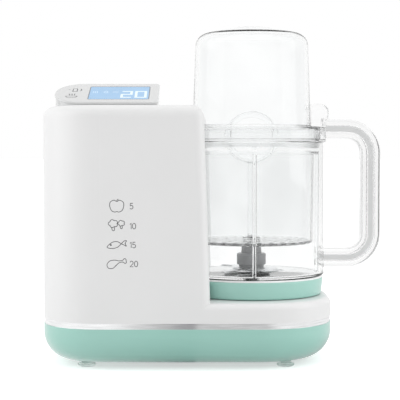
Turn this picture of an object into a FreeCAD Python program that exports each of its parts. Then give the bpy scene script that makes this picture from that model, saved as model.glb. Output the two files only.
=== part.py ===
import FreeCAD, Part
import Sketcher
import math
import os

# Baby food maker: a steam tower with a wrap-round recess, and a blending bowl with a steam basket and dome.
# X runs from the tower to the handle, the front faces -Y, Z is up, and the feet stand on Z = 0.

doc = FreeCAD.newDocument("BabyFoodMaker")
sheet = doc.addObject("Spreadsheet::Sheet", "Dims")

# Driving dimensions, in millimetres and degrees
values = {
    # footprint of the base
    "base_left": -135.6,
    "base_right": 94.2,
    "base_half_depth": 75.0,
    "corner_left": 48.0,
    "corner_right": 60.0,
    "case_wall": 2.6,
    # heights of the base and tower
    "tray_bottom": 4.0,
    "tray_top": 32.5,
    "tray_belly": 22.0,
    "band_top": 37.0,
    "band_inset": 0.5,
    "band_wall": 2.0,
    "platform_top": 52.2,
    "platform_round": 5.0,
    "tower_top": 203.8,
    "tower_right_low": -3.4,
    "tower_right_high": -8.8,
    "tower_round": 9.0,
    "cheek_round": 7.0,
    "recess_radius": 61.5,
    # feet
    "foot_left": -100.2,
    "foot_right": 56.1,
    "foot_half_span": 45.0,
    "foot_radius": 6.8,
    "foot_stem_radius": 4.2,
    "foot_pad_height": 1.8,
    # control pod and display
    "pod_left": -125.3,
    "pod_right": -44.3,
    "pod_front": -53.15,
    "pod_back": -9.3,
    "pod_front_rise": 1.36,
    "pod_back_rise": 17.76,
    "pod_round": 21.2,
    "pod_wall": 2.2,
    "fascia_overhang": 0.8,
    "fascia_thickness": 1.6,
    "display_left": 27.4,
    "display_right": 74.9,
    "display_low": 7.5,
    "display_high": 39.8,
    "display_round": 1.2,
    "display_flange": 2.0,
    "display_depth": 3.0,
    "fascia_depth": 48.4,
    "fascia_round": 22.5,
    "fascia_corner": 3.0,
    "fascia_edge": 1.2,
    "lens_thickness": 0.8,
    "lens_gap": 0.15,
    "board_low": 22.0,
    "board_high": 40.0,
    "board_drop": 2.0,
    "board_thickness": 1.6,
    # bowl and its collar, about the bowl axis
    "bowl_axis": 31.0,
    "bowl_radius": 58.2,
    "bowl_band_radius": 60.6,
    "bowl_wall": 2.4,
    "bowl_floor_bottom": 67.2,
    "bowl_floor": 2.6,
    "bowl_foot_radius": 59.2,
    "bowl_rim_band_bottom": 176.5,
    "bowl_rim": 188.0,
    "lid_ledge": 178.0,
    "lid_ledge_radius": 56.8,
    "boss_radius": 7.5,
    "boss_bottom": 63.0,
    "boss_top": 79.0,
    "rib_depth": 3.4,
    "rib_half_width": 1.5,
    "rib_top": 165.7,
    "steam_hole_height": 155.0,
    "steam_hole_radius": 3.5,
    "collar_bottom": 52.5,
    "collar_top": 66.4,
    "collar_radius": 58.4,
    "collar_foot_radius": 56.8,
    "collar_wall": 3.0,
    "collar_plate": 2.8,
    "collar_hole": 22.0,
    "gasket_hole": 23.0,
    # handle, about the bowl axis
    "handle_reach": 104.6,
    "handle_top": 194.3,
    "handle_bottom": 74.3,
    "handle_bar": 15.0,
    "handle_half_width": 8.5,
    "handle_round": 27.0,
    "handle_flange": 4.9,
    "handle_web_half": 3.0,
    "joint_gap": 0.05,
    # lid, dome and basket, about the bowl axis
    "lid_radius": 56.3,
    "lid_skirt_radius": 55.2,
    "lid_skirt_bottom": 171.0,
    "lid_top": 188.6,
    "lid_plate": 2.8,
    "lid_opening": 43.4,
    "lid_lip_radius": 45.0,
    "lid_lip_top": 190.0,
    "seal_radius": 55.5,
    "seal_bottom": 172.0,
    "seal_top": 175.0,
    "tab_inner": 48.6,
    "tab_notch": 58.4,
    "tab_outer": 62.9,
    "tab_gap": 0.6,
    "tab_round": 8.0,
    "tab_top": 207.8,
    "tab_half_width": 9.0,
    "dome_radius": 48.2,
    "dome_bottom": 188.9,
    "dome_shoulder_radius": 45.6,
    "dome_shoulder": 262.6,
    "dome_flat_radius": 12.0,
    "dome_flat_round": 60.0,
    "dome_crown": 269.4,
    "dome_round": 10.5,
    "dome_wall": 2.0,
    "dome_split": 257.0,
    "basket_floor_bottom": 94.0,
    "basket_floor": 2.2,
    "basket_foot_radius": 50.0,
    "basket_top_radius": 50.9,
    "basket_wall": 2.1,
    "basket_flange_radius": 55.2,
    "basket_flange_bottom": 166.0,
    "basket_top": 168.2,
    "basket_foot_round": 1.8,
    "basket_hole_radius": 1.9,
    "hole_ring_1": 13.0,
    "hole_ring_2": 22.0,
    "hole_ring_3": 31.0,
    "hole_ring_4": 40.0,
    "hole_ring_5": 45.0,
    "grip_centre": 180.0,
    "grip_radius": 19.5,
    "grip_wire": 2.6,
    "grip_stem_radius": 3.0,
    "grip_foot_radius": 7.0,
    "grip_foot_height": 2.0,
    # blade unit and drive, about the bowl axis
    "shaft_radius": 3.0,
    "bearing_bore": 3.05,
    "bearing_radius": 5.0,
    "hub_bottom": 70.6,
    "hub_step": 75.8,
    "hub_shoulder": 84.9,
    "hub_top": 92.2,
    "hub_neck_radius": 10.2,
    "hub_radius": 11.9,
    "hub_cap_radius": 7.8,
    "hub_bore": 8.2,
    "hub_cap_wall": 2.2,
    "blade_reach": 33.0,
    "blade_belly": 25.0,
    "blade_waist": 19.0,
    "blade_root": 9.0,
    "blade_root_half": 12.5,
    "blade_belly_half": 8.5,
    "blade_tip_rise": 1.5,
    "blade_waist_rise": 2.5,
    "blade_belly_round": 12.0,
    "blade_waist_round": 8.0,
    "blade_thickness": 1.2,
    "lower_blade_bottom": 70.9,
    "upper_blade_bottom": 72.4,
    "socket_radius": 17.0,
    "socket_bottom": 55.0,
    "socket_web": 59.2,
    "socket_top": 62.4,
    "dog_reach": 10.0,
    "dog_half_width": 3.2,
    "dog_disc_radius": 12.0,
    "dog_bottom": 52.9,
    "dog_disc_top": 54.6,
    "dog_top": 58.6,
    "dog_play": 0.5,
    "shaft_hole_radius": 8.0,
    "seat_inner": 34.0,
    "seat_outer": 38.0,
    "seat_top": 58.0,
    "motor_radius": 24.0,
    "motor_bottom": 9.0,
    "motor_top": 45.0,
    "motor_wall": 2.4,
    "motor_shaft_bottom": 7.2,
    "bearing_height": 4.0,
    "rotor_radius": 19.0,
    "rotor_bottom": 15.0,
    "rotor_top": 39.0,
    "mount_inner": 10.0,
    "mount_outer": 26.0,
    # power board in the base
    "power_left": -49.8,
    "power_right": 0.2,
    "power_half_depth": 46.0,
    "power_bottom": 10.2,
    "power_post_radius": 3.0,
    "power_post_inset": 6.0,
    "coil_size": 26.0,
    "coil_height": 18.0,
    "capacitor_radius": 7.0,
    "capacitor_height": 20.0,
    # mains cord gland in the tower's rear wall
    "gland_x": -71.8,
    "gland_height": 48.0,
    "gland_radius": 6.0,
    "gland_bore": 3.4,
    "gland_depth": 6.0,
    # water and steam inside the tower
    "tank_left": -113.0,
    "tank_right": -53.8,
    "tank_front": 9.0,
    "tank_back": 60.0,
    "tank_bottom": 110.0,
    "tank_wall": 2.0,
    "tank_round": 8.0,
    "fill_x": -87.8,
    "fill_y": 34.0,
    "fill_radius": 13.0,
    "boiler_x": -81.8,
    "boiler_radius": 24.0,
    "heater_radius": 26.0,
    "heater_top": 18.0,
    "boiler_top": 62.0,
    "steam_tube_radius": 4.0,
    "steam_tube_bend": 16.0,
    "port_bore": 3.0,
    "port_start": -38.3,
    "port_end": -30.6,
    "feed_y": 38.0,
    "feed_height": 44.0,
    "feed_bend": 7.0,
    "feed_radius": 3.5,
    # tank lid and its hinge
    "flap_left": -115.8,
    "flap_right": -59.8,
    "flap_front": 8.0,
    "flap_back": 54.0,
    "flap_bottom": 205.0,
    "flap_top": 208.2,
    "flap_round": 7.0,
    "flap_lip_half": 9.0,
    "flap_lip": 5.0,
    "gasket_bottom": 204.1,
    "hinge_y": 58.5,
    "hinge_height": 208.0,
    "knuckle_radius": 3.7,
    "knuckle_half": 17.0,
    "pin_radius": 1.5,
    "pin_bore": 1.55,
    "ear_inner": 17.4,
    "ear_outer": 25.0,
    "gasket_inner": 14.5,
    "gasket_outer": 18.0,
}
for row, (alias, value) in enumerate(values.items(), start=1):
    sheet.set("A%d" % row, alias)
    sheet.set("B%d" % row, str(value))
    sheet.setAlias("B%d" % row, alias)
doc.recompute()

Vector = FreeCAD.Vector
Rotation = FreeCAD.Rotation
Placement = FreeCAD.Placement
bowl_place = Placement(Vector(values["bowl_axis"], 0, 0), Rotation())
subparts = []


# Formulas are sums such as "bowl_radius - bowl_wall", read here and bound to the sheet
def amount(formula):
    total = 0.0
    sign = 1.0
    for word in formula.split():
        if word in ("+", "-"):
            sign = 1.0 if word == "+" else -1.0
        else:
            total += sign * (values[word] if word in values else float(word))
    return total


def bound(formula):
    words = ["Dims." + word if word in values else word for word in formula.split()]
    return " ".join(words)


def bind(feature, prop, formula):
    setattr(feature, prop, amount(formula))
    feature.setExpression(prop, bound(formula))


def keep(obj, label):
    obj.Label = label
    subparts.append(obj)
    return obj


# Sketches: a plane of the body's own origin, raised by a formula
def new_body(name):
    return doc.addObject("PartDesign::Body", name)


def new_sketch(body, role, height="0"):
    plane = [item for item in body.Origin.OriginFeatures if item.Role == role][0]
    sketch = body.newObject("Sketcher::SketchObject", body.Name + "_sketch")
    sketch.AttachmentSupport = [(plane, "")]
    sketch.MapMode = "FlatFace"
    sketch.AttachmentOffset = Placement(Vector(0, 0, amount(height)), Rotation())
    sketch.setExpression("AttachmentOffset.Base.z", bound(height))
    return sketch


def pin_point(sketch, geo, pos, u, v):
    for kind, axis, formula in (("DistanceX", -2, u), ("DistanceY", -1, v)):
        value = amount(formula)
        if abs(value) < 1e-9:
            sketch.addConstraint(Sketcher.Constraint("PointOnObject", geo, pos, axis))
        else:
            index = sketch.addConstraint(Sketcher.Constraint(kind, -1, 1, geo, pos, value))
            sketch.setExpression("Constraints[%d]" % index, bound(formula))


def add_circle(sketch, u, v, radius):
    centre = Vector(amount(u), amount(v), 0)
    geo = sketch.addGeometry(Part.Circle(centre, Vector(0, 0, 1), amount(radius)), False)
    pin_point(sketch, geo, 3, u, v)
    index = sketch.addConstraint(Sketcher.Constraint("Radius", geo, amount(radius)))
    sketch.setExpression("Constraints[%d]" % index, bound(radius))


# A run of straight lines through corners (u, v) or (u, v, radius), closed unless told otherwise
def add_outline(sketch, corners, closed=True):
    count = len(corners)
    points = [Vector(amount(corner[0]), amount(corner[1]), 0) for corner in corners]
    arcs = {}
    starts = list(points)
    ends = list(points)
    for i, corner in enumerate(corners):
        if len(corner) < 3:
            continue
        radius = amount(corner[2])
        back = (points[i - 1] - points[i]).normalize()
        ahead = (points[(i + 1) % count] - points[i]).normalize()
        half = back.getAngle(ahead) / 2
        run = radius / math.tan(half)
        ends[i] = points[i] + back * run
        starts[i] = points[i] + ahead * run
        bisector = (back + ahead).normalize()
        centre = points[i] + bisector * (radius / math.sin(half))
        left_turn = back.cross(ahead).z < 0
        first, last = (ends[i], starts[i]) if left_turn else (starts[i], ends[i])
        arcs[i] = (centre, radius, first - centre, last - centre, left_turn)
    lines = []
    for i in range(count if closed else count - 1):
        line = Part.LineSegment(starts[i], ends[(i + 1) % count])
        lines.append(sketch.addGeometry(line, False))
    for i, corner in enumerate(corners):
        if i in arcs:
            centre, radius, first, last, left_turn = arcs[i]
            circle = Part.Circle(centre, Vector(0, 0, 1), radius)
            angles = [math.atan2(arm.y, arm.x) for arm in (first, last)]
            arc = sketch.addGeometry(Part.ArcOfCircle(circle, angles[0], angles[1]), False)
            near, far = (1, 2) if left_turn else (2, 1)
            sketch.addConstraint(Sketcher.Constraint("Tangent", lines[i - 1], 2, arc, near))
            sketch.addConstraint(Sketcher.Constraint("Tangent", arc, far, lines[i], 1))
            index = sketch.addConstraint(Sketcher.Constraint("Radius", arc, radius))
            sketch.setExpression("Constraints[%d]" % index, bound(corner[2]))
            tip = sketch.addGeometry(Part.Point(points[i]), True)
            sketch.addConstraint(Sketcher.Constraint("PointOnObject", tip, 1, lines[i - 1]))
            sketch.addConstraint(Sketcher.Constraint("PointOnObject", tip, 1, lines[i]))
            pin_point(sketch, tip, 1, corner[0], corner[1])
        elif not closed and i == count - 1:
            pin_point(sketch, lines[-1], 2, corner[0], corner[1])
        else:
            if closed or i > 0:
                sketch.addConstraint(Sketcher.Constraint("Coincident", lines[i - 1], 2, lines[i], 1))
            pin_point(sketch, lines[i], 1, corner[0], corner[1])


def add_pad(body, sketch, length, midplane=False):
    pad = body.newObject("PartDesign::Pad", body.Name + "_pad")
    pad.Profile = sketch
    bind(pad, "Length", length)
    pad.Midplane = midplane
    doc.recompute()
    return pad


def add_pocket(body, sketch, reverse=False, both=False, length=None):
    before = body.Shape.Volume
    pocket = body.newObject("PartDesign::Pocket", body.Name + "_pocket")
    pocket.Profile = sketch
    pocket.Reversed = reverse
    pocket.Midplane = both
    if length is None:
        pocket.Type = "ThroughAll"
    else:
        bind(pocket, "Length", length)
    doc.recompute()
    if body.Shape.Volume > before - 0.01:
        raise RuntimeError(pocket.Name + " cuts nothing")
    return pocket


def add_pattern(body, feature, count, angle=360.0):
    axis = [item for item in body.Origin.OriginFeatures if item.Role == "Z_Axis"][0]
    pattern = body.newObject("PartDesign::PolarPattern", body.Name + "_pattern")
    pattern.Originals = [feature]
    pattern.Axis = (axis, [""])
    pattern.Angle = angle
    pattern.Occurrences = count
    body.Tip = pattern
    doc.recompute()
    return pattern


def add_fillet(body, radius, wanted):
    doc.recompute()
    names = ["Edge%d" % (i + 1) for i, edge in enumerate(body.Shape.Edges) if wanted(edge)]
    if not names:
        raise RuntimeError(body.Name + " has no edge to round")
    fillet = body.newObject("PartDesign::Fillet", body.Name + "_fillet")
    fillet.Base = (body.Tip if body.Tip != fillet else fillet.BaseFeature, names)
    bind(fillet, "Radius", radius)
    doc.recompute()
    return fillet


# A piece turned about the Z axis of its own body
def turned(name, corners, place=None):
    body = new_body(name)
    sketch = new_sketch(body, "XZ_Plane")
    add_outline(sketch, corners)
    revolution = body.newObject("PartDesign::Revolution", name + "_turn")
    revolution.Profile = sketch
    revolution.ReferenceAxis = (sketch, ["V_Axis"])
    revolution.Angle = 360.0
    if place is not None:
        body.Placement = place
    doc.recompute()
    return body


def ring(name, inner, outer, low, high, place=None):
    corners = [(inner, low), (outer, low), (outer, high), (inner, high)]
    return turned(name, corners, place)


# A padded plan outline
def slab(name, corners, low, height):
    body = new_body(name)
    sketch = new_sketch(body, "XY_Plane", low)
    add_outline(sketch, corners)
    add_pad(body, sketch, height)
    return body


def disc(name, radius, low, height, place):
    body = new_body(name)
    sketch = new_sketch(body, "XY_Plane", low)
    add_circle(sketch, "0", "0", radius)
    add_pad(body, sketch, height)
    body.Placement = place
    return body


# A round tube along a path drawn on one of the body's planes
def tube(name, role, height, path, radius):
    body = new_body(name)
    spine = new_sketch(body, role, height)
    add_outline(spine, path, closed=False)
    section = new_sketch(body, "XY_Plane", path[0][1])
    u, v = ("0", path[0][0]) if role == "YZ_Plane" else (path[0][0], "0")
    if role == "YZ_Plane":
        u = height
    add_circle(section, u, v, radius)
    doc.recompute()
    pipe = body.newObject("PartDesign::AdditivePipe", name + "_pipe")
    pipe.Profile = section
    pipe.Spine = (spine, ["Edge%d" % (i + 1) for i in range(len(spine.Shape.Edges))])
    doc.recompute()
    return body


def cylinder(name, radius, height, place):
    tool = doc.addObject("Part::Cylinder", name)
    bind(tool, "Radius", radius)
    bind(tool, "Height", height)
    tool.Placement = place
    return tool


def cut(name, base, tool):
    result = doc.addObject("Part::Cut", name)
    result.Base = base
    result.Tool = tool
    return result


def fuse(name, shapes):
    result = doc.addObject("Part::MultiFuse", name)
    result.Shapes = shapes
    return result


def place_at(x, y, z, axis=(0, 0, 1), angle=0.0):
    return Placement(Vector(amount(x), amount(y), amount(z)), Rotation(Vector(*axis), angle))


def at_height(edge, height):
    box = edge.BoundBox
    return abs(box.ZMin - height) < 0.01 and abs(box.ZMax - height) < 0.01


# The sum taken away: its signs turn round
def less(formula, inset):
    return formula + " - " + inset.replace(" + ", " - ")


# Base footprint: a rounded oblong, the tower end with tighter corners than the bowl end
def footprint(inset):
    left = "base_left + " + inset
    right = less("base_right", inset)
    front = "- base_half_depth + " + inset
    back = less("base_half_depth", inset)
    left_round = less("corner_left", inset)
    right_round = less("corner_right", inset)
    return [(left, front, left_round), (right, front, right_round),
            (right, back, right_round), (left, back, left_round)]


# Lower tray: a tub with a deep rounded belly
def tray_form(name, inset):
    floor = "tray_bottom + " + inset
    body = slab(name, footprint(inset), floor, less("tray_top - tray_bottom", inset))
    add_fillet(body, less("tray_belly", inset), lambda edge: at_height(edge, amount(floor)))
    return body


def make_tray():
    outer = tray_form("tray_outer", "0")
    core = tray_form("tray_core", "case_wall")
    keep(cut("tray", outer, core), "base_tray")


def make_band():
    body = new_body("band")
    sketch = new_sketch(body, "XY_Plane", "tray_top")
    add_outline(sketch, footprint("band_inset"))
    add_outline(sketch, footprint("band_inset + band_wall"))
    add_pad(body, sketch, "band_top - tray_top")
    keep(body, "trim_band")


# Four feet: a soft pad on a short stem, under the flat of the tray
def make_feet():
    feet = []
    for x in ("foot_left", "foot_right"):
        for y in ("- foot_half_span", "foot_half_span"):
            profile = [("0", "0"), ("foot_radius - 0.8", "0"), ("foot_radius", "0.8"),
                       ("foot_radius", "foot_pad_height"), ("foot_stem_radius", "foot_pad_height + 0.6"),
                       ("foot_stem_radius", "tray_bottom"), ("0", "tray_bottom")]
            feet.append(turned("foot%d" % len(feet), profile, place_at(x, y, "0")))
    keep(fuse("feet", feet), "rubber_feet")


# Main housing: tower and bowl platform in one moulding, the tower hollowed to wrap round the bowl
def housing_form(name, inset):
    body = slab(name, footprint(inset), "band_top", less("tower_top - band_top", inset))
    step = new_sketch(body, "XZ_Plane")
    beyond = "base_right + 10"
    above = "tower_top + 10"
    shelf = less("platform_top", inset)
    add_outline(step, [(less("tower_right_low", inset), shelf), (beyond, shelf), (beyond, above),
                       (less("tower_right_high", inset), above)])
    add_pocket(body, step, both=True)
    hollow = new_sketch(body, "XY_Plane", shelf)
    add_circle(hollow, "bowl_axis", "0", "recess_radius + " + inset)
    add_pocket(body, hollow, reverse=True)
    return body


# Ears for the tank lid hinge, moulded on the tower top
def hinge_ear(name, start):
    body = new_body(name)
    sketch = new_sketch(body, "YZ_Plane", start)
    front = "hinge_y - knuckle_radius"
    back = "hinge_y + knuckle_radius"
    crest = "hinge_height + knuckle_radius"
    root = "tower_top - 2"
    crest_round = "knuckle_radius - 0.2"
    add_outline(sketch, [(front, root), (back, root), (back, crest, crest_round),
                         (front, crest, crest_round)])
    add_circle(sketch, "hinge_y", "hinge_height", "pin_radius")
    add_pad(body, sketch, "ear_outer - ear_inner")
    return body


def make_housing():
    outer = housing_form("housing_outer", "0")
    top = amount("tower_top")
    shelf = amount("platform_top")

    def cheek(edge):
        box = edge.BoundBox
        return box.ZMax > top - 1 and box.ZMin < shelf + 1 and box.XMin > amount("tower_right_high") - 1

    def shelf_rim(edge):
        mid = edge.CenterOfMass
        far = math.hypot(mid.x - amount("bowl_axis"), mid.y) > amount("recess_radius - 8")
        return at_height(edge, shelf) and edge.BoundBox.XMax > 10 and far

    add_fillet(outer, "cheek_round", cheek)
    add_fillet(outer, "tower_round", lambda edge: at_height(edge, top))
    add_fillet(outer, "platform_round", shelf_rim)
    core = housing_form("housing_core", "case_wall")
    roof = amount("tower_top - case_wall")
    add_fillet(core, "tower_round - case_wall", lambda edge: at_height(edge, roof))
    shell = cut("housing_shell", outer, core)
    holes = fuse("housing_holes", [
        cylinder("shaft_hole", "shaft_hole_radius", "20", place_at("bowl_axis", "0", "platform_top - 10")),
        cylinder("fill_hole", "fill_radius", "20", place_at("fill_x", "fill_y", "tower_top - 10")),
        cylinder("port_hole", "bearing_radius", "20",
                 place_at("port_start", "0", "steam_hole_height", (0, 1, 0), 90)),
        cylinder("cord_hole", "gland_radius", "20",
                 place_at("gland_x", "base_half_depth + 10", "gland_height", (1, 0, 0), 90))])
    pierced = cut("housing_pierced", shell, holes)
    ears = [hinge_ear("ear_left", "fill_x - ear_outer"), hinge_ear("ear_right", "fill_x + ear_inner")]
    keep(fuse("housing", [pierced] + ears), "main_housing")


# Control pod: a wedge frame on the tower top that tilts the panel towards the user
def pod_plan(inset):
    left = "pod_left + " + inset
    right = "pod_right - " + inset
    front = "pod_front + " + inset
    back = "pod_back - " + inset
    left_round = "pod_round - " + inset
    return [(left, front, left_round), (right, front), (right, back), (left, back, left_round)]


def make_pod():
    body = slab("pod", pod_plan("0"), "tower_top", "pod_back_rise + 10")
    slope = new_sketch(body, "YZ_Plane")
    above = "tower_top + pod_back_rise + 20"
    low = "tower_top + pod_front_rise"
    high = "tower_top + pod_back_rise"
    add_outline(slope, [("pod_front", low), ("pod_back", high), ("pod_back + 5", high),
                        ("pod_back + 5", above), ("pod_front - 5", above), ("pod_front - 5", low)])
    add_pocket(body, slope, both=True)
    inside = new_sketch(body, "XY_Plane", "tower_top")
    add_outline(inside, pod_plan("pod_wall"))
    add_pocket(body, inside, reverse=True)
    keep(body, "control_pod")


# Panel pieces are drawn flat and laid on the slope of the pod
tilt = math.degrees(math.atan2(amount("pod_back_rise - pod_front_rise"), amount("pod_back - pod_front")))
lean = Rotation(Vector(1, 0, 0), tilt)
panel_corner = Vector(amount("pod_left - fascia_overhang"), amount("pod_front"),
                      amount("tower_top + pod_front_rise"))
panel_corner += lean.multVec(Vector(0, -values["fascia_overhang"], 0))
panel_place = Placement(panel_corner, lean)


def window(inset, grow="0"):
    left = "display_left + " + inset + " - " + grow
    right = "display_right - " + inset + " + " + grow
    low = "display_low + " + inset + " - " + grow
    high = "display_high - " + inset + " + " + grow
    return [(left, low, "display_round"), (right, low, "display_round"),
            (right, high, "display_round"), (left, high, "display_round")]


def make_panel():
    right = "pod_right - pod_left + fascia_overhang + fascia_overhang"
    plan = [("0", "0", "fascia_round"), (right, "0", "fascia_corner"),
            (right, "fascia_depth", "fascia_corner"), ("0", "fascia_depth", "fascia_round")]
    fascia = slab("fascia", plan, "0", "fascia_thickness")
    opening = new_sketch(fascia, "XY_Plane")
    add_outline(opening, window("0"))
    add_pocket(fascia, opening, reverse=True)

    def rim(edge):
        start = edge.BoundBox.XMin
        outside = start < amount("display_left - 5") or start > amount("display_right")
        return outside and at_height(edge, amount("fascia_thickness"))

    add_fillet(fascia, "fascia_edge", rim)
    fascia.Placement = panel_place
    keep(fascia, "control_fascia")
    lens = slab("lens", window("lens_gap"), "fascia_thickness - lens_thickness", "lens_thickness")
    lens.Placement = panel_place
    keep(lens, "display_lens")
    module = slab("module", window("lens_gap"), "0", "fascia_thickness - lens_thickness")
    frame = new_sketch(module, "XY_Plane", "- display_depth")
    add_outline(frame, window("0", "display_flange"))
    add_pad(module, frame, "display_depth")
    module.Placement = panel_place
    keep(module, "display_module")
    board = slab("board", [("display_left", "board_low"), ("display_right", "board_low"),
                           ("display_right", "board_high"), ("display_left", "board_high")],
                 "- display_depth - board_drop - board_thickness", "board_thickness")
    posts = new_sketch(board, "XY_Plane", "- display_depth - board_drop")
    for x in ("display_left + 4", "display_right - 4"):
        for y in ("board_low + 3", "display_high - 3"):
            add_circle(posts, x, y, "1.5")
    add_pad(board, posts, "board_drop")
    board.Placement = panel_place
    keep(board, "control_board")


# Blending bowl: a clear jug with a drawn wall, a thick rim band, four ribs and a bearing boss
def make_bowl():
    inner = "bowl_radius - bowl_wall"
    floor = "bowl_floor_bottom + bowl_floor"
    jug = turned("jug", [
        ("bearing_radius", "boss_bottom"), ("boss_radius", "boss_bottom"),
        ("boss_radius", "bowl_floor_bottom"), ("bowl_foot_radius", "bowl_floor_bottom", "3"),
        ("bowl_radius", "bowl_rim_band_bottom - 1.2"), ("bowl_band_radius", "bowl_rim_band_bottom"),
        ("bowl_band_radius", "bowl_rim", "0.8"), ("lid_ledge_radius", "bowl_rim"),
        ("lid_ledge_radius", "lid_ledge"), (inner, "lid_ledge"), (inner, floor, "6"),
        ("boss_radius", floor), ("boss_radius", "boss_top"), ("bearing_radius", "boss_top")], bowl_place)
    rib = new_sketch(jug, "XY_Plane", floor)
    tip = inner + " - rib_depth"
    add_outline(rib, [(tip, "- rib_half_width"), ("bowl_radius - 1", "- rib_half_width"),
                      ("bowl_radius - 1", "rib_half_width"), (tip, "rib_half_width")])
    add_pattern(jug, add_pad(jug, rib, "rib_top - bowl_floor_bottom - bowl_floor"), 4)
    inlet = new_sketch(jug, "YZ_Plane")
    add_circle(inlet, "0", "steam_hole_height", "steam_hole_radius")
    add_pocket(jug, inlet)
    keep(jug, "bowl_jug")


# Handle: an I-section bow, moulded hollow on both faces
def handle_outline(inset):
    root = "bowl_radius"
    top = "handle_top - " + inset
    under = "handle_top - handle_bar + " + inset
    low = "handle_bottom + " + inset
    over = "handle_bottom + handle_bar - " + inset
    far = "handle_reach - " + inset
    near = "handle_reach - handle_bar + " + inset
    outer_round = "handle_round - " + inset
    inner_round = "handle_round - handle_bar + " + inset
    return [(root, top), (far, top, outer_round), (far, low, outer_round), (root, low), (root, over),
            (near, over, inner_round), (near, under, inner_round), (root, under)]


def make_handle():
    body = new_body("handle")
    bow = new_sketch(body, "XZ_Plane")
    add_outline(bow, handle_outline("0"))
    add_pad(body, bow, "handle_half_width + handle_half_width", midplane=True)
    channel = new_sketch(body, "XZ_Plane", "handle_half_width")
    add_outline(channel, handle_outline("handle_flange"))
    groove = add_pocket(body, channel, length="handle_half_width - handle_web_half")
    mirror = body.newObject("PartDesign::Mirrored", "handle_mirror")
    mirror.Originals = [groove]
    mirror.MirrorPlane = ([item for item in body.Origin.OriginFeatures if item.Role == "XZ_Plane"][0], [""])
    body.Tip = mirror
    doc.recompute()
    low_seat = new_sketch(body, "XY_Plane")
    add_circle(low_seat, "0", "0", "bowl_foot_radius + joint_gap")
    add_pocket(body, low_seat, both=True)
    rim_seat = new_sketch(body, "XY_Plane", "handle_top - 60")
    add_circle(rim_seat, "0", "0", "bowl_band_radius + joint_gap")
    add_pocket(body, rim_seat, reverse=True)
    body.Placement = bowl_place
    keep(body, "bowl_handle")


def make_bowl_fittings():
    under = "collar_top - collar_plate"
    collar = turned("collar", [
        ("collar_hole", under), ("collar_radius - collar_wall", under),
        ("collar_foot_radius - collar_wall", "collar_bottom"), ("collar_foot_radius", "collar_bottom", "2"),
        ("collar_radius", "collar_top", "0.6"), ("collar_hole", "collar_top")], bowl_place)
    keep(collar, "bowl_collar")
    rim = "collar_radius - 0.4"
    keep(ring("gasket", "gasket_hole", rim, "collar_top", "bowl_floor_bottom", bowl_place), "bowl_gasket")
    keep(ring("bush", "bearing_bore", "bearing_radius", "boss_bottom", "boss_top", bowl_place), "blade_bush")


# Lid: a stepped ring that drops into the rim, with a lip for the dome and a lock tab over the handle
def make_lid():
    under = "lid_top - lid_plate"
    skirt = "lid_skirt_radius - 2.2"
    lid = turned("lid", [
        (skirt, "lid_skirt_bottom"), ("lid_skirt_radius", "lid_skirt_bottom"),
        ("lid_skirt_radius", "lid_ledge + 0.3"), ("lid_radius", "lid_ledge + 0.3"),
        ("lid_radius", "lid_top", "1.5"), ("lid_lip_radius", "lid_top"), ("lid_lip_radius", "lid_lip_top"),
        ("lid_opening", "lid_lip_top"), ("lid_opening", under), (skirt, under)], bowl_place)
    keep(lid, "bowl_lid")
    keep(ring("seal", "lid_skirt_radius", "seal_radius", "seal_bottom", "seal_top", bowl_place), "lid_seal")
    tab = new_body("tab")
    sketch = new_sketch(tab, "XZ_Plane")
    hook = "handle_top + tab_gap"
    add_outline(sketch, [("tab_inner", "lid_top"), ("tab_notch", "lid_top"), ("tab_notch", hook),
                         ("tab_outer", hook), ("tab_outer", "tab_top", "tab_round"),
                         ("tab_inner", "tab_top", "2")])
    add_pad(tab, sketch, "tab_half_width + tab_half_width", midplane=True)
    tab.Placement = bowl_place
    keep(tab, "lid_lock_tab")


# Dome: a clear bell, its wall and its crown kept apart
def make_dome():
    inside = "dome_crown - dome_wall"
    profile = [("dome_radius - dome_wall", "dome_bottom"), ("dome_radius", "dome_bottom"),
               ("dome_shoulder_radius", "dome_shoulder", "dome_round"),
               ("dome_flat_radius", "dome_crown", "dome_flat_round"), ("0", "dome_crown"),
               ("0", inside), ("dome_flat_radius", inside, "dome_flat_round"),
               ("dome_shoulder_radius - dome_wall", "dome_shoulder - dome_wall", "dome_round - dome_wall")]
    dome = turned("dome", profile, bowl_place)
    above = cylinder("above_split", "dome_radius + 2", "40", place_at("bowl_axis", "0", "dome_split"))
    keep(cut("dome_wall_part", dome, above), "steam_dome")
    crown = doc.addObject("Part::Common", "crown")
    crown.Base = dome
    crown.Tool = above
    keep(crown, "dome_crown")


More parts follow.
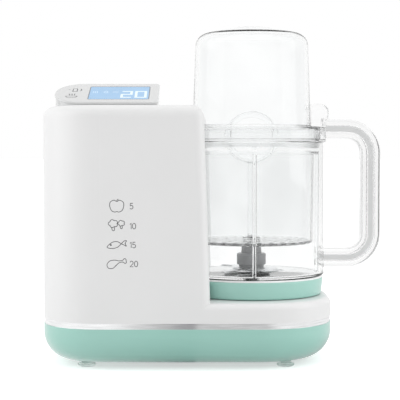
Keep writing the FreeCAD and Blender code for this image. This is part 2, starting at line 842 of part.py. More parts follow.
# Steam basket: a flanged wall round a floor with rings of holes, and a lifting ring
def make_basket():
    low = "basket_floor_bottom"
    floor = "basket_floor_bottom + basket_floor"
    inner = "basket_foot_radius - basket_wall"
    basket = turned("basket", [
        (inner, low), ("basket_foot_radius", low, "basket_foot_round"),
        ("basket_top_radius", "basket_flange_bottom"), ("basket_flange_radius", "basket_flange_bottom"),
        ("basket_flange_radius", "basket_top"), ("basket_top_radius - basket_wall", "basket_top"),
        (inner, floor)], bowl_place)
    keep(basket, "steam_basket")
    sieve = disc("sieve", inner, low, "basket_floor", bowl_place)
    for radius, count in (("hole_ring_1", 8), ("hole_ring_2", 14), ("hole_ring_3", 20),
                          ("hole_ring_4", 26), ("hole_ring_5", 30)):
        hole = new_sketch(sieve, "XY_Plane", floor)
        add_circle(hole, radius, "0", "basket_hole_radius")
        add_pattern(sieve, add_pocket(sieve, hole), count)
    keep(sieve, "basket_floor")
    hoop = doc.addObject("Part::Torus", "hoop")
    bind(hoop, "Radius1", "grip_radius")
    bind(hoop, "Radius2", "grip_wire")
    hoop.Placement = place_at("bowl_axis", "0", "grip_centre", (1, 0, 0), 90)
    stand = place_at("bowl_axis", "0", floor)
    stem = cylinder("stem", "grip_stem_radius", less("grip_centre - grip_radius", floor), stand)
    grip_foot = cylinder("grip_foot", "grip_foot_radius", "grip_foot_height", stand)
    keep(fuse("grip", [hoop, stem, grip_foot]), "basket_grip")


# Blade unit: two swept blades on a hub that hoods the bearing boss
def blade(name, bottom, turn):
    body = new_body(name)
    sketch = new_sketch(body, "XY_Plane", bottom)
    arm = [("blade_root", "- blade_root_half"), ("blade_belly", "- blade_belly_half", "blade_belly_round"),
           ("blade_reach", "blade_tip_rise"), ("blade_waist", "blade_waist_rise", "blade_waist_round"),
           ("blade_root", "blade_root_half")]
    other = []
    for corner in arm:
        u, v = [formula[2:] if formula[0] == "-" else "- " + formula for formula in corner[:2]]
        other.append((u, v) + corner[2:])
    add_outline(sketch, arm + other)
    add_circle(sketch, "0", "0", "hub_neck_radius")
    add_pad(body, sketch, "blade_thickness")
    body.Placement = Placement(Vector(values["bowl_axis"], 0, 0), Rotation(Vector(0, 0, 1), turn))
    return body


def cross(reach, half):
    back = less("0", reach)
    near = less("0", half)
    return [(half, back), (half, near), (reach, near), (reach, half), (half, half), (half, reach),
            (near, reach), (near, half), (back, half), (back, near), (near, near), (near, back)]


def make_blade_unit():
    cap = "hub_top - hub_cap_wall"
    hood = "boss_top + 1.6"
    hub = turned("hub", [
        ("hub_bore", "hub_bottom"), ("hub_neck_radius", "hub_bottom"), ("hub_neck_radius", "hub_step"),
        ("hub_radius", "hub_step"), ("hub_radius", "hub_shoulder", "1"),
        ("hub_cap_radius + 0.6", "hub_shoulder"), ("hub_cap_radius", "hub_top", "1.5"), ("0", "hub_top"),
        ("0", cap), ("shaft_radius", cap), ("shaft_radius", hood), ("hub_bore", hood)], bowl_place)
    keep(hub, "blade_hub")
    keep(disc("spindle", "shaft_radius", "socket_web", "hub_top - hub_cap_wall - socket_web", bowl_place),
         "blade_shaft")
    keep(blade("low_blade", "lower_blade_bottom", 47.0), "lower_blade")
    keep(blade("high_blade", "upper_blade_bottom", 137.0), "upper_blade")
    socket = disc("socket", "socket_radius", "socket_bottom", "socket_top - socket_bottom", bowl_place)
    mouth = new_sketch(socket, "XY_Plane", "socket_bottom")
    add_outline(mouth, cross("dog_reach + dog_play", "dog_half_width + dog_play"))
    add_pocket(socket, mouth, reverse=True, length="socket_web - socket_bottom")
    bore = new_sketch(socket, "XY_Plane", "socket_bottom")
    add_circle(bore, "0", "0", "shaft_radius")
    add_pocket(socket, bore, reverse=True)
    keep(socket, "driven_socket")


# Drive under the platform: motor, bearings, shaft and the cross-shaped dog
def make_drive():
    dog = disc("dog", "dog_disc_radius", "dog_bottom", "dog_disc_top - dog_bottom", bowl_place)
    lobes = new_sketch(dog, "XY_Plane", "dog_disc_top")
    add_outline(lobes, cross("dog_reach", "dog_half_width"))
    add_pad(dog, lobes, "dog_top - dog_disc_top")
    bore = new_sketch(dog, "XY_Plane", "dog_bottom")
    add_circle(bore, "0", "0", "shaft_radius")
    add_pocket(dog, bore, reverse=True)
    keep(dog, "drive_dog")
    length = "dog_top - motor_shaft_bottom"
    keep(disc("motor_spindle", "shaft_radius", "motor_shaft_bottom", length, bowl_place), "motor_shaft")
    rotor = ring("rotor", "shaft_radius", "rotor_radius", "rotor_bottom", "rotor_top", bowl_place)
    keep(rotor, "motor_rotor")
    lining = "motor_radius - motor_wall"
    can = turned("can", [
        ("bearing_radius", "motor_bottom"), ("motor_radius", "motor_bottom", "2"),
        ("motor_radius", "motor_top", "2"), ("bearing_radius", "motor_top"),
        ("bearing_radius", "motor_top - motor_wall"),
        (lining, "motor_top - motor_wall"), (lining, "motor_bottom + motor_wall"),
        ("bearing_radius", "motor_bottom + motor_wall")], bowl_place)
    keep(can, "motor_can")
    for name, low, high in (("motor_bearing_low", "motor_bottom", "motor_bottom + bearing_height"),
                            ("motor_bearing_high", "motor_top - bearing_height", "motor_top")):
        keep(ring(name + "_ring", "bearing_bore", "bearing_radius", low, high, bowl_place), name)
    mount = ring("mount", "mount_inner", "mount_outer", "motor_top", "platform_top - case_wall", bowl_place)
    keep(mount, "motor_mount")
    keep(ring("seat", "seat_inner", "seat_outer", "platform_top", "seat_top", bowl_place), "bowl_seat")


# Water and steam: tank, feed hose, heater, boiler, steam tube and the port in the recess wall
def make_steam_path():
    roof = "tower_top - case_wall"
    plan = [("tank_left", "tank_front", "tank_round"), ("tank_right", "tank_front", "tank_round"),
            ("tank_right", "tank_back", "tank_round"), ("tank_left", "tank_back", "tank_round")]
    tank = slab("tank", plan, "tank_bottom", roof + " - tank_bottom")
    lining = "tank_round - tank_wall"
    inside = new_sketch(tank, "XY_Plane", "tank_bottom + tank_wall")
    add_outline(inside, [("tank_left + tank_wall", "tank_front + tank_wall", lining),
                         ("tank_right - tank_wall", "tank_front + tank_wall", lining),
                         ("tank_right - tank_wall", "tank_back - tank_wall", lining),
                         ("tank_left + tank_wall", "tank_back - tank_wall", lining)])
    add_pocket(tank, inside, reverse=True)
    keep(tank, "water_tank")
    floor = "tray_bottom + case_wall"
    boiler_place = place_at("boiler_x", "0", "0")
    keep(disc("heater", "heater_radius", floor, less("heater_top", floor), boiler_place), "heater_plate")
    boiler = turned("kettle", [("0", "heater_top"), ("boiler_radius", "heater_top"),
                               ("boiler_radius", "boiler_top", "10"), ("0", "boiler_top")], boiler_place)
    keep(boiler, "boiler")
    rise = [("boiler_x", "boiler_top"), ("boiler_x", "steam_hole_height", "steam_tube_bend"),
            ("port_start", "steam_hole_height")]
    keep(tube("riser", "XZ_Plane", "0", rise, "steam_tube_radius"), "steam_tube")
    port = ring("port", "port_bore", "bearing_radius", "0", "port_end - port_start",
                place_at("port_start", "0", "steam_hole_height", (0, 1, 0), 90))
    keep(port, "steam_port")
    drop = [("feed_y", "tank_bottom"), ("feed_y", "feed_height", "feed_bend"),
            ("boiler_radius", "feed_height")]
    keep(tube("feed", "YZ_Plane", "boiler_x", drop, "feed_radius"), "feed_hose")


# Tank lid: a flap with a finger lip, a knuckle on the hinge pin and a flat gasket
def make_tank_lid():
    plan = [("flap_left", "flap_front", "flap_round"), ("flap_right", "flap_front", "flap_round"),
            ("flap_right", "flap_back"), ("flap_left", "flap_back")]
    flap = slab("flap", plan, "flap_bottom", "flap_top - flap_bottom")
    lip = new_sketch(flap, "XY_Plane", "flap_bottom")
    left = "fill_x - flap_lip_half"
    right = "fill_x + flap_lip_half"
    root = "flap_front + 2"
    tip = "flap_front - flap_lip"
    add_outline(lip, [(left, root), (left, tip, "3"), (right, tip, "3"), (right, root)])
    add_pad(flap, lip, "flap_top - flap_bottom")
    width = "knuckle_half + knuckle_half"
    bridge = new_sketch(flap, "YZ_Plane", "fill_x - knuckle_half")
    start = "flap_back - 2"
    add_outline(bridge, [(start, "flap_bottom"), ("hinge_y", "flap_bottom"), ("hinge_y", "flap_top"),
                         (start, "flap_top")])
    add_pad(flap, bridge, width)
    barrel = new_sketch(flap, "YZ_Plane", "fill_x - knuckle_half")
    add_circle(barrel, "hinge_y", "hinge_height", "knuckle_radius")
    add_pad(flap, barrel, width)
    bore = new_sketch(flap, "YZ_Plane", "fill_x")
    add_circle(bore, "hinge_y", "hinge_height", "pin_bore")
    add_pocket(flap, bore, both=True)
    keep(flap, "tank_flap")
    keep(ring("flap_seal", "gasket_inner", "gasket_outer", "gasket_bottom", "flap_bottom",
              place_at("fill_x", "fill_y", "0")), "tank_gasket")
    pin_place = place_at("fill_x - ear_outer", "hinge_y", "hinge_height", (0, 1, 0), 90)
    keep(cylinder("hinge_pin", "pin_radius", "ear_outer + ear_outer", pin_place), "tank_hinge_pin")


# Power board on posts in the tray, and the gland for the mains cord
def make_electrics():
    board = slab("power", [("power_left", "- power_half_depth"), ("power_right", "- power_half_depth"),
                           ("power_right", "power_half_depth"), ("power_left", "power_half_depth")],
                 "power_bottom", "board_thickness")
    floor = "tray_bottom + case_wall"
    posts = new_sketch(board, "XY_Plane", floor)
    for x in ("power_left + power_post_inset", "power_right - power_post_inset"):
        for y in ("- power_half_depth + power_post_inset", "power_half_depth - power_post_inset"):
            add_circle(posts, x, y, "power_post_radius")
    add_pad(board, posts, less("power_bottom", floor))
    face = "power_bottom + board_thickness"
    coil = new_sketch(board, "XY_Plane", face)
    add_outline(coil, [("power_left + 10", "- coil_size"), ("power_left + coil_size + 10", "- coil_size"),
                       ("power_left + coil_size + 10", "0"), ("power_left + 10", "0")])
    add_pad(board, coil, "coil_height")
    can = new_sketch(board, "XY_Plane", face)
    add_circle(can, "power_left + 22", "coil_size", "capacitor_radius")
    add_pad(board, can, "capacitor_height")
    keep(board, "power_board")
    keep(ring("gland", "gland_bore", "gland_radius", "0", "gland_depth",
              place_at("gland_x", "base_half_depth", "gland_height", (1, 0, 0), 90)), "cord_gland")


make_tray()
make_band()
make_feet()
make_housing()
make_pod()
make_panel()
make_bowl()
make_handle()
make_bowl_fittings()
make_lid()
make_dome()
make_basket()
make_blade_unit()
make_drive()
make_steam_path()
make_tank_lid()
make_electrics()
doc.recompute()

# Every object must be sound before any file is written
for item in doc.Objects:
    if "Invalid" in item.State or "Error" in item.State:
        raise RuntimeError("failed: " + item.Name)
for item in subparts:
    if item.Shape.isNull() or not item.Shape.isValid() or not item.Shape.Solids:
        raise RuntimeError("bad shape: " + item.Label)

os.makedirs("parts", exist_ok=True)
for item in subparts:
    item.Shape.exportStep("parts/" + item.Label + ".step")
    box = item.Shape.optimalBoundingBox()
    print("%-20s solids %d volume %8.0f  x %.1f..%.1f y %.1f..%.1f z %.1f..%.1f" % (
        item.Label, len(item.Shape.Solids), item.Shape.Volume,
        box.XMin, box.XMax, box.YMin, box.YMax, box.ZMin, box.ZMax))
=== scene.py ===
import bmesh
import bpy
import math
from mathutils import Matrix, Vector


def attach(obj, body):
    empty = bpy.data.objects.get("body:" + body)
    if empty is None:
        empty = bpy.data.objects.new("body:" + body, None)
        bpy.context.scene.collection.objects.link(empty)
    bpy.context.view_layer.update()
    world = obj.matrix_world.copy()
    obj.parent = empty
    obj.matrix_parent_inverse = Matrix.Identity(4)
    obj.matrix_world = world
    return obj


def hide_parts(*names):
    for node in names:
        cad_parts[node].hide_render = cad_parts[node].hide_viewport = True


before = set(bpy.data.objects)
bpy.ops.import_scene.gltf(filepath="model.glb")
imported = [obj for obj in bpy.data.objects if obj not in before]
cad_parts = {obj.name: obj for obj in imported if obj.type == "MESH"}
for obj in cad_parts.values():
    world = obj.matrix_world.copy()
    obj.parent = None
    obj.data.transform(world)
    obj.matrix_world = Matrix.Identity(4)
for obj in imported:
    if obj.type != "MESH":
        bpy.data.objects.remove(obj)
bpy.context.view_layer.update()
mm = 0.001
bowlAxis = 31.0  # in mm: bowl, basket, lid, dome and drive are centred on this line
white = (1.0, 1.0, 1.0, 1.0)


# node helpers
def newMaterial(name):
    material = bpy.data.materials.new(name)
    material.use_nodes = True
    tree = material.node_tree
    return material, tree, tree.nodes["Principled BSDF"]


def objectNoise(tree, scale, detail=3.0, stretch=(1.0, 1.0, 1.0)):
    coords = tree.nodes.new("ShaderNodeTexCoord")
    mapping = tree.nodes.new("ShaderNodeMapping")
    mapping.inputs["Scale"].default_value = stretch
    noise = tree.nodes.new("ShaderNodeTexNoise")
    noise.inputs["Scale"].default_value = scale
    noise.inputs["Detail"].default_value = detail
    tree.links.new(coords.outputs["Object"], mapping.inputs["Vector"])
    tree.links.new(mapping.outputs["Vector"], noise.inputs["Vector"])
    return noise.outputs["Fac"]


def shade(colour, factor):
    return tuple(min(1.0, part * factor) for part in colour) + (1.0,)


# a colour that drifts with the noise between two shades of itself
def driftColour(tree, noise, socket, colour, tones, ends=(0.35, 0.65)):
    ramp = tree.nodes.new("ShaderNodeValToRGB")
    for stop, position, tone in zip(ramp.color_ramp.elements, ends, tones):
        stop.position = position
        stop.color = shade(colour, tone)
    tree.links.new(noise, ramp.inputs["Fac"])
    tree.links.new(ramp.outputs["Color"], socket)


# a roughness that drifts with the noise between two shares of itself
def driftGloss(tree, noise, shader, roughness, shares):
    spread = tree.nodes.new("ShaderNodeMapRange")
    spread.inputs["To Min"].default_value = roughness * shares[0]
    spread.inputs["To Max"].default_value = roughness * shares[1]
    tree.links.new(noise, spread.inputs["Value"])
    tree.links.new(spread.outputs["Result"], shader.inputs["Roughness"])


def addBump(tree, noise, shader, strength, depth):
    bump = tree.nodes.new("ShaderNodeBump")
    bump.inputs["Strength"].default_value = strength
    bump.inputs["Distance"].default_value = depth
    tree.links.new(noise, bump.inputs["Height"])
    tree.links.new(bump.outputs["Normal"], shader.inputs["Normal"])


def mathNode(tree, operation, *sources):
    node = tree.nodes.new("ShaderNodeMath")
    node.operation = operation
    for source, socket in zip(sources, node.inputs):
        if isinstance(source, float):
            socket.default_value = source
        else:
            tree.links.new(source, socket)
    return node.outputs["Value"]


def mixShaders(tree, factor, first, second):
    mix = tree.nodes.new("ShaderNodeMixShader")
    for source, socket in zip((factor, first, second), mix.inputs):
        tree.links.new(source, socket)
    return mix.outputs["Shader"]


# moulded plastic: faint clouds in colour and gloss, a fine orange peel in the surface
mouldedSet = {"cloud": 22.0, "ends": (0.1, 0.9), "gloss": (0.85, 1.15), "coatGloss": 0.6,
              "skin": 900.0, "skinDetail": 2.0, "peel": 0.02, "peelDepth": 0.0002}


def mouldedPlastic(name, colour, roughness, coat=0.0, drift=0.02):
    material, tree, shader = newMaterial(name)
    cloud = objectNoise(tree, mouldedSet["cloud"])
    tones = (1.0 - drift, 1.0 + drift)
    driftColour(tree, cloud, shader.inputs["Base Color"], colour, tones, mouldedSet["ends"])
    driftGloss(tree, cloud, shader, roughness, mouldedSet["gloss"])
    shader.inputs["Coat Weight"].default_value = coat
    shader.inputs["Coat Roughness"].default_value = roughness * mouldedSet["coatGloss"]
    skin = objectNoise(tree, mouldedSet["skin"], mouldedSet["skinDetail"])
    addBump(tree, skin, shader, mouldedSet["peel"], mouldedSet["peelDepth"])
    return material


# clear plastic: a gloss that drifts over the moulding, slight waves in the surface
clearSet = {"cloud": 30.0, "tones": (0.99, 1.01), "gloss": (0.6, 1.4),
            "wave": 45.0, "waveDetail": 1.0, "waveStretch": (1.0, 1.0, 0.3), "waveDepth": 0.0004}


def clearPlastic(name, colour, roughness, ripple, clear=1.0, bend=1.33):
    material, tree, shader = newMaterial(name)
    cloud = objectNoise(tree, clearSet["cloud"])
    driftColour(tree, cloud, shader.inputs["Base Color"], colour, clearSet["tones"])
    driftGloss(tree, cloud, shader, roughness, clearSet["gloss"])
    shader.inputs["Transmission Weight"].default_value = clear
    shader.inputs["IOR"].default_value = bend
    wave = objectNoise(tree, clearSet["wave"], clearSet["waveDetail"], clearSet["waveStretch"])
    addBump(tree, wave, shader, ripple, clearSet["waveDepth"])
    return material


# metal: a fine grain, drawn out into lines where it is stretched
metalSet = {"tones": (0.93, 1.05), "gloss": (0.7, 1.4),
            "lines": 260.0, "linesDetail": 4.0, "grooveDepth": 0.0001}


def drawnMetal(name, colour, roughness, groove, stretch=(1.0, 1.0, 1.0)):
    material, tree, shader = newMaterial(name)
    lines = objectNoise(tree, metalSet["lines"], metalSet["linesDetail"], stretch)
    driftColour(tree, lines, shader.inputs["Base Color"], colour, metalSet["tones"])
    driftGloss(tree, lines, shader, roughness, metalSet["gloss"])
    shader.inputs["Metallic"].default_value = 1.0
    addBump(tree, lines, shader, groove, metalSet["grooveDepth"])
    return material


# rubber: dull, with a fine stipple
rubberSet = {"cloud": 60.0, "tones": (0.92, 1.08), "roughness": 1.0, "gloss": (0.55, 0.75),
             "grain": 1400.0, "grainDetail": 2.0, "stipple": 0.15, "stippleDepth": 0.0002}


def stippledRubber(name, colour):
    material, tree, shader = newMaterial(name)
    cloud = objectNoise(tree, rubberSet["cloud"])
    driftColour(tree, cloud, shader.inputs["Base Color"], colour, rubberSet["tones"])
    grain = objectNoise(tree, rubberSet["grain"], rubberSet["grainDetail"])
    driftGloss(tree, grain, shader, rubberSet["roughness"], rubberSet["gloss"])
    addBump(tree, grain, shader, rubberSet["stipple"], rubberSet["stippleDepth"])
    return material


# backlit display: an even glow, faintly clouded
backlitSet = {"cloud": 35.0, "cloudDetail": 1.0, "tones": (0.94, 1.06), "ends": (0.2, 0.8),
              "unlit": 0.1, "roughness": 0.6, "specular": 0.1}


def backlit(name, colour, strength):
    material, tree, shader = newMaterial(name)
    cloud = objectNoise(tree, backlitSet["cloud"], backlitSet["cloudDetail"])
    driftColour(tree, cloud, shader.inputs["Emission Color"], colour, backlitSet["tones"], backlitSet["ends"])
    shader.inputs["Emission Strength"].default_value = strength
    shader.inputs["Base Color"].default_value = shade(colour, backlitSet["unlit"])
    shader.inputs["Roughness"].default_value = backlitSet["roughness"]
    shader.inputs["Specular IOR Level"].default_value = backlitSet["specular"]
    return material


whitePlastic = mouldedPlastic("whitePlastic", (0.78, 0.78, 0.78), roughness=0.42, coat=0.08)
panelPlastic = mouldedPlastic("panelPlastic", (0.64, 0.645, 0.645), roughness=0.22, coat=0.3)
mintPlastic = mouldedPlastic("mintPlastic", (0.322, 0.595, 0.52), roughness=0.34, coat=0.9)
mintCollar = mouldedPlastic("mintCollar", (0.36, 0.635, 0.56), roughness=0.34, coat=0.4)
hubPlastic = mouldedPlastic("hubPlastic", (0.205, 0.21, 0.215), roughness=0.34)
darkPlastic = mouldedPlastic("darkPlastic", (0.06, 0.06, 0.065), roughness=0.4)
boardLacquer = mouldedPlastic("boardLacquer", (0.02, 0.14, 0.06), roughness=0.3, drift=0.15)
tankPlastic = mouldedPlastic("tankPlastic", (0.62, 0.68, 0.70), roughness=0.35)
printInk = mouldedPlastic("printInk", (0.06, 0.062, 0.065), roughness=0.5)
# painted shade: a dark grey ink for the line round the display window, where its recess lies in shade
windowShadeInk = mouldedPlastic("windowShadeInk", (0.16, 0.18, 0.21), roughness=0.4)
bowlClear = clearPlastic("bowlClear", (0.985, 0.99, 0.99), roughness=0.03, ripple=0.01, bend=1.40)
domeClear = clearPlastic("domeClear", (0.985, 0.99, 0.99), roughness=0.03, ripple=0.01, bend=1.25)
basketClear = clearPlastic("basketClear", (0.98, 0.985, 0.985), roughness=0.05, ripple=0.02, bend=1.22)
handleClear = clearPlastic("handleClear", (0.94, 0.94, 0.94), roughness=0.06, ripple=0.01, clear=0.98)
# frosted finish for the handle's web, made darker as painted shade of the recessed channel between the
# flanges
handleFrostAndShade = clearPlastic("handleFrostAndShade", (0.69, 0.695, 0.695), roughness=0.35, ripple=0.02, clear=0.50)
sealClear = clearPlastic("sealClear", (0.96, 0.965, 0.965), roughness=0.25, ripple=0.02, clear=0.92)
tabClear = clearPlastic("tabClear", (0.98, 0.98, 0.98), roughness=0.15, ripple=0.01, clear=0.93, bend=1.2)
lensClear = clearPlastic("lensClear", (0.97, 0.985, 1.0), roughness=0.02, ripple=0.01)
footSilicone = clearPlastic("footSilicone", (0.86, 0.975, 0.94), roughness=0.35, ripple=0.02, clear=0.88,
                            bend=1.15)
chromePlate = drawnMetal("chromePlate", (0.90, 0.905, 0.91), roughness=0.08, groove=0.02,
                         stretch=(0.2, 0.2, 3.0))
bladeSteel = drawnMetal("bladeSteel", (0.84, 0.85, 0.86), roughness=0.25, groove=0.05,
                        stretch=(0.3, 4.0, 1.0))
motorSteel = drawnMetal("motorSteel", (0.35, 0.36, 0.38), roughness=0.4, groove=0.03,
                        stretch=(1.0, 1.0, 0.1))
bearingBrass = drawnMetal("bearingBrass", (0.62, 0.45, 0.20), roughness=0.35, groove=0.03)
castMetal = drawnMetal("castMetal", (0.6, 0.6, 0.61), roughness=0.45, groove=0.1)
darkRubber = stippledRubber("darkRubber", (0.06, 0.06, 0.06))
paleRubber = stippledRubber("paleRubber", (0.60, 0.61, 0.61))
whiteSilicone = stippledRubber("whiteSilicone", (0.90, 0.905, 0.905))
displayBlue = backlit("displayBlue", (0.37, 0.60, 0.86), strength=0.95)
displayWhite = backlit("displayWhite", (0.80, 0.90, 0.94), strength=1.0)
displayPale = backlit("displayPale", (0.58, 0.74, 0.91), strength=1.0)
clearFinishes = (bowlClear, domeClear, basketClear, handleClear, tabClear)
print("materials made")

# the finish of every CAD node
nodeFinish = {
    "base_tray": mintPlastic, "trim_band": chromePlate, "main_housing": whitePlastic,
    "rubber_feet": footSilicone, "control_pod": panelPlastic, "control_fascia": panelPlastic,
    "display_lens": lensClear, "display_module": displayBlue, "control_board": boardLacquer,
    "water_tank": tankPlastic, "feed_hose": paleRubber, "heater_plate": castMetal, "boiler": castMetal,
    "steam_tube": paleRubber, "steam_port": paleRubber, "motor_can": motorSteel,
    "motor_bearing_low": bearingBrass, "motor_bearing_high": bearingBrass, "motor_mount": darkRubber,
    "bowl_seat": paleRubber, "power_board": boardLacquer, "cord_gland": darkRubber,
    "tank_hinge_pin": bladeSteel, "motor_rotor": motorSteel, "motor_shaft": bladeSteel,
    "drive_dog": darkPlastic, "bowl_jug": bowlClear, "bowl_handle": handleClear, "bowl_collar": mintCollar,
    "bowl_gasket": whiteSilicone, "blade_bush": hubPlastic, "blade_hub": hubPlastic,
    "blade_shaft": bladeSteel, "lower_blade": bladeSteel, "upper_blade": bladeSteel,
    "driven_socket": darkPlastic,
    "steam_basket": basketClear, "basket_floor": basketClear, "basket_grip": basketClear,
    "bowl_lid": bowlClear, "lid_seal": sealClear, "lid_lock_tab": tabClear,
    "steam_dome": domeClear, "dome_crown": domeClear, "tank_flap": whitePlastic, "tank_gasket": paleRubber,
}
for nodeName, finish in nodeFinish.items():
    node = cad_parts[nodeName]
    node.data.materials.clear()
    node.data.materials.append(finish)

# mesh helpers take millimetres, and a corner is (across, up) or (across, up, rounding)
samePoint = 1e-6
meshGaps = {"weld": 1e-6, "pole": 1e-7, "sliver": 1e-8}  # in metres


def roundedLine(corners, steps=6, closed=True):
    count = len(corners)
    points = []
    for i, corner in enumerate(corners):
        here = Vector(corner[:2])
        if len(corner) < 3 or (not closed and i in (0, count - 1)):
            points.append(here)
            continue
        back = (Vector(corners[i - 1][:2]) - here).normalized()
        ahead = (Vector(corners[(i + 1) % count][:2]) - here).normalized()
        half = back.angle(ahead) / 2
        run = corner[2] / math.tan(half)
        centre = here + (back + ahead).normalized() * (corner[2] / math.sin(half))
        first = here + back * run - centre
        turn = first.angle_signed(here + ahead * run - centre)
        for k in range(steps + 1):
            points.append(centre + Matrix.Rotation(-turn * k / steps, 2) @ first)
    return points


# the step aside from a line that keeps its distance round the corners too
def sideStep(before, here, after, distance, sharpest=0.6):
    back, ahead = (here - before).normalized(), (after - here).normalized()
    along = (back + ahead).normalized()
    inward = Vector((-along.y, along.x))
    return inward * (distance / max(sharpest, inward.dot(Vector((-ahead.y, ahead.x)))))


def addPoint(bm, x, y, z):
    return bm.verts.new((x * mm, y * mm, z * mm))


# faces between rows of points: a ring, an open band, or a bar with capped ends
def skinRows(bm, rows, kind):
    pairs = list(zip(rows, rows[1:]))
    if kind == "ring":
        pairs.append((rows[-1], rows[0]))
    for here, after in pairs:
        for i in range(len(here)):
            j = (i + 1) % len(here)
            bm.faces.new((here[i], after[i], after[j], here[j]))
    if kind == "capped":
        caps = [bm.faces.new(rows[0]), bm.faces.new(rows[-1])]
        bmesh.ops.triangulate(bm, faces=[cap for cap in caps if len(cap.verts) > 4])


def finishMesh(bm, name, sharpAngle=32.0):
    bmesh.ops.remove_doubles(bm, verts=bm.verts, dist=meshGaps["weld"])
    bmesh.ops.recalc_face_normals(bm, faces=bm.faces)
    mesh = bpy.data.meshes.new(name)
    bm.to_mesh(mesh)
    bm.free()
    for polygon in mesh.polygons:
        polygon.use_smooth = True
    mesh.set_sharp_from_angle(angle=math.radians(sharpAngle))
    return mesh


def placePiece(name, mesh, material, body, slot, *nodes):
    piece = bpy.data.objects.new(name, mesh)
    bpy.context.scene.collection.objects.link(piece)
    mesh.materials.clear()
    mesh.materials.append(material)
    if material in clearFinishes:  # clear plastic lets the studio light through
        piece.visible_shadow = False
        piece.visible_diffuse = False
    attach(piece, body)
    if nodes:
        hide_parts(*nodes)
    return piece


# a closed outline turned about the bowl axis
def latheMesh(name, corners, segments=160, steps=6):
    profile = roundedLine(corners, steps)
    bm = bmesh.new()
    rings = []
    for k in range(segments):
        angle = 2 * math.pi * k / segments
        across, aside = math.cos(angle), math.sin(angle)
        rings.append([addPoint(bm, bowlAxis + p.x * across, p.x * aside, p.y) for p in profile])
    for k in range(segments):
        here, after = rings[k], rings[(k + 1) % segments]
        for i in range(len(profile)):
            j = (i + 1) % len(profile)
            if max(profile[i].x, profile[j].x) >= samePoint:  # a stretch along the axis has no face
                bm.faces.new((here[i], after[i], after[j], here[j]))
    bmesh.ops.remove_doubles(bm, verts=bm.verts, dist=meshGaps["pole"])
    bmesh.ops.dissolve_degenerate(bm, dist=meshGaps["sliver"], edges=bm.edges)
    return finishMesh(bm, name)


# Geometry Nodes: tool shapes repeated round the bowl axis, then joined to or cut from the body
toolSides = 20
ringInputs = {"Count": "NodeSocketInt", "Radius": "NodeSocketFloat", "Height": "NodeSocketFloat",
              "Size": "NodeSocketVector"}


def ringOfTools(tree, start, ring, shape):
    nodes, links = tree.nodes, tree.links
    circle = nodes.new("GeometryNodeMeshCircle")
    links.new(start.outputs[ring + " Count"], circle.inputs["Vertices"])
    links.new(start.outputs[ring + " Radius"], circle.inputs["Radius"])
    position = nodes.new("GeometryNodeInputPosition")
    face = nodes.new("FunctionNodeAlignRotationToVector")
    face.axis = "X"
    face.pivot_axis = "Z"
    links.new(position.outputs["Position"], face.inputs["Vector"])
    place = nodes.new("GeometryNodeInstanceOnPoints")
    links.new(circle.outputs["Mesh"], place.inputs["Points"])
    links.new(face.outputs["Rotation"], place.inputs["Rotation"])
    if shape == "round":
        tool = nodes.new("GeometryNodeMeshCylinder")
        tool.inputs["Vertices"].default_value = toolSides
        size = nodes.new("ShaderNodeSeparateXYZ")
        links.new(start.outputs[ring + " Size"], size.inputs["Vector"])
        links.new(size.outputs["X"], tool.inputs["Radius"])
        links.new(size.outputs["Z"], tool.inputs["Depth"])
    else:
        tool = nodes.new("GeometryNodeMeshCube")
        links.new(start.outputs[ring + " Size"], tool.inputs["Size"])
    links.new(tool.outputs["Mesh"], place.inputs["Instance"])
    lift = nodes.new("ShaderNodeCombineXYZ")
    lift.inputs["X"].default_value = bowlAxis * mm
    links.new(start.outputs[ring + " Height"], lift.inputs["Z"])
    move = nodes.new("GeometryNodeTransform")
    links.new(place.outputs["Instances"], move.inputs["Geometry"])
    links.new(lift.outputs["Vector"], move.inputs["Translation"])
    return move.outputs["Geometry"]


def ringTree(name, operation, rings):
    tree = bpy.data.node_groups.new(name, "GeometryNodeTree")
    nodes, links = tree.nodes, tree.links
    tree.interface.new_socket("Geometry", in_out="INPUT", socket_type="NodeSocketGeometry")
    tree.interface.new_socket("Geometry", in_out="OUTPUT", socket_type="NodeSocketGeometry")
    kinds = {"Finish": "NodeSocketMaterial"}
    for ring in rings:
        for label, kind in ringInputs.items():
            kinds[ring + " " + label] = kind
    sockets = {}
    for label, kind in kinds.items():
        sockets[label] = tree.interface.new_socket(label, in_out="INPUT", socket_type=kind).identifier
    start = nodes.new("NodeGroupInput")
    gather = nodes.new("GeometryNodeJoinGeometry")
    for ring, shape in rings.items():
        links.new(ringOfTools(tree, start, ring, shape), gather.inputs["Geometry"])
    tools = nodes.new("GeometryNodeRealizeInstances")
    links.new(gather.outputs["Geometry"], tools.inputs["Geometry"])
    shaping = nodes.new("GeometryNodeMeshBoolean")
    shaping.operation = operation
    shaping.solver = "EXACT"
    links.new(tools.outputs["Geometry"], shaping.inputs["Mesh 2"])
    if operation == "DIFFERENCE":
        links.new(start.outputs["Geometry"], shaping.inputs["Mesh 1"])
    else:
        shaping.inputs["Self Intersection"].default_value = True
        links.new(start.outputs["Geometry"], shaping.inputs["Mesh 2"])
    whole = nodes.new("GeometryNodeRealizeInstances")
    links.new(shaping.outputs["Mesh"], whole.inputs["Geometry"])
    dress = nodes.new("GeometryNodeSetMaterial")
    links.new(whole.outputs["Geometry"], dress.inputs["Geometry"])
    links.new(start.outputs["Finish"], dress.inputs["Material"])
    end = nodes.new("NodeGroupOutput")
    links.new(dress.outputs["Geometry"], end.inputs["Geometry"])
    return tree, sockets


def bakeNodes(name, mesh, tree, sockets, settings):
    raw = bpy.data.objects.new(name + "Raw", mesh)
    bpy.context.scene.collection.objects.link(raw)
    modifier = raw.modifiers.new("shape", "NODES")
    modifier.node_group = tree
    for label, value in settings.items():
        modifier[sockets[label]] = value
    shaped = raw.evaluated_get(bpy.context.evaluated_depsgraph_get())
    baked = bpy.data.meshes.new_from_object(shaped)
    raw.modifiers.remove(modifier)
    bpy.data.objects.remove(raw)
    bm = bmesh.new()
    bm.from_mesh(baked)
    bpy.data.meshes.remove(baked)
    return finishMesh(bm, name)


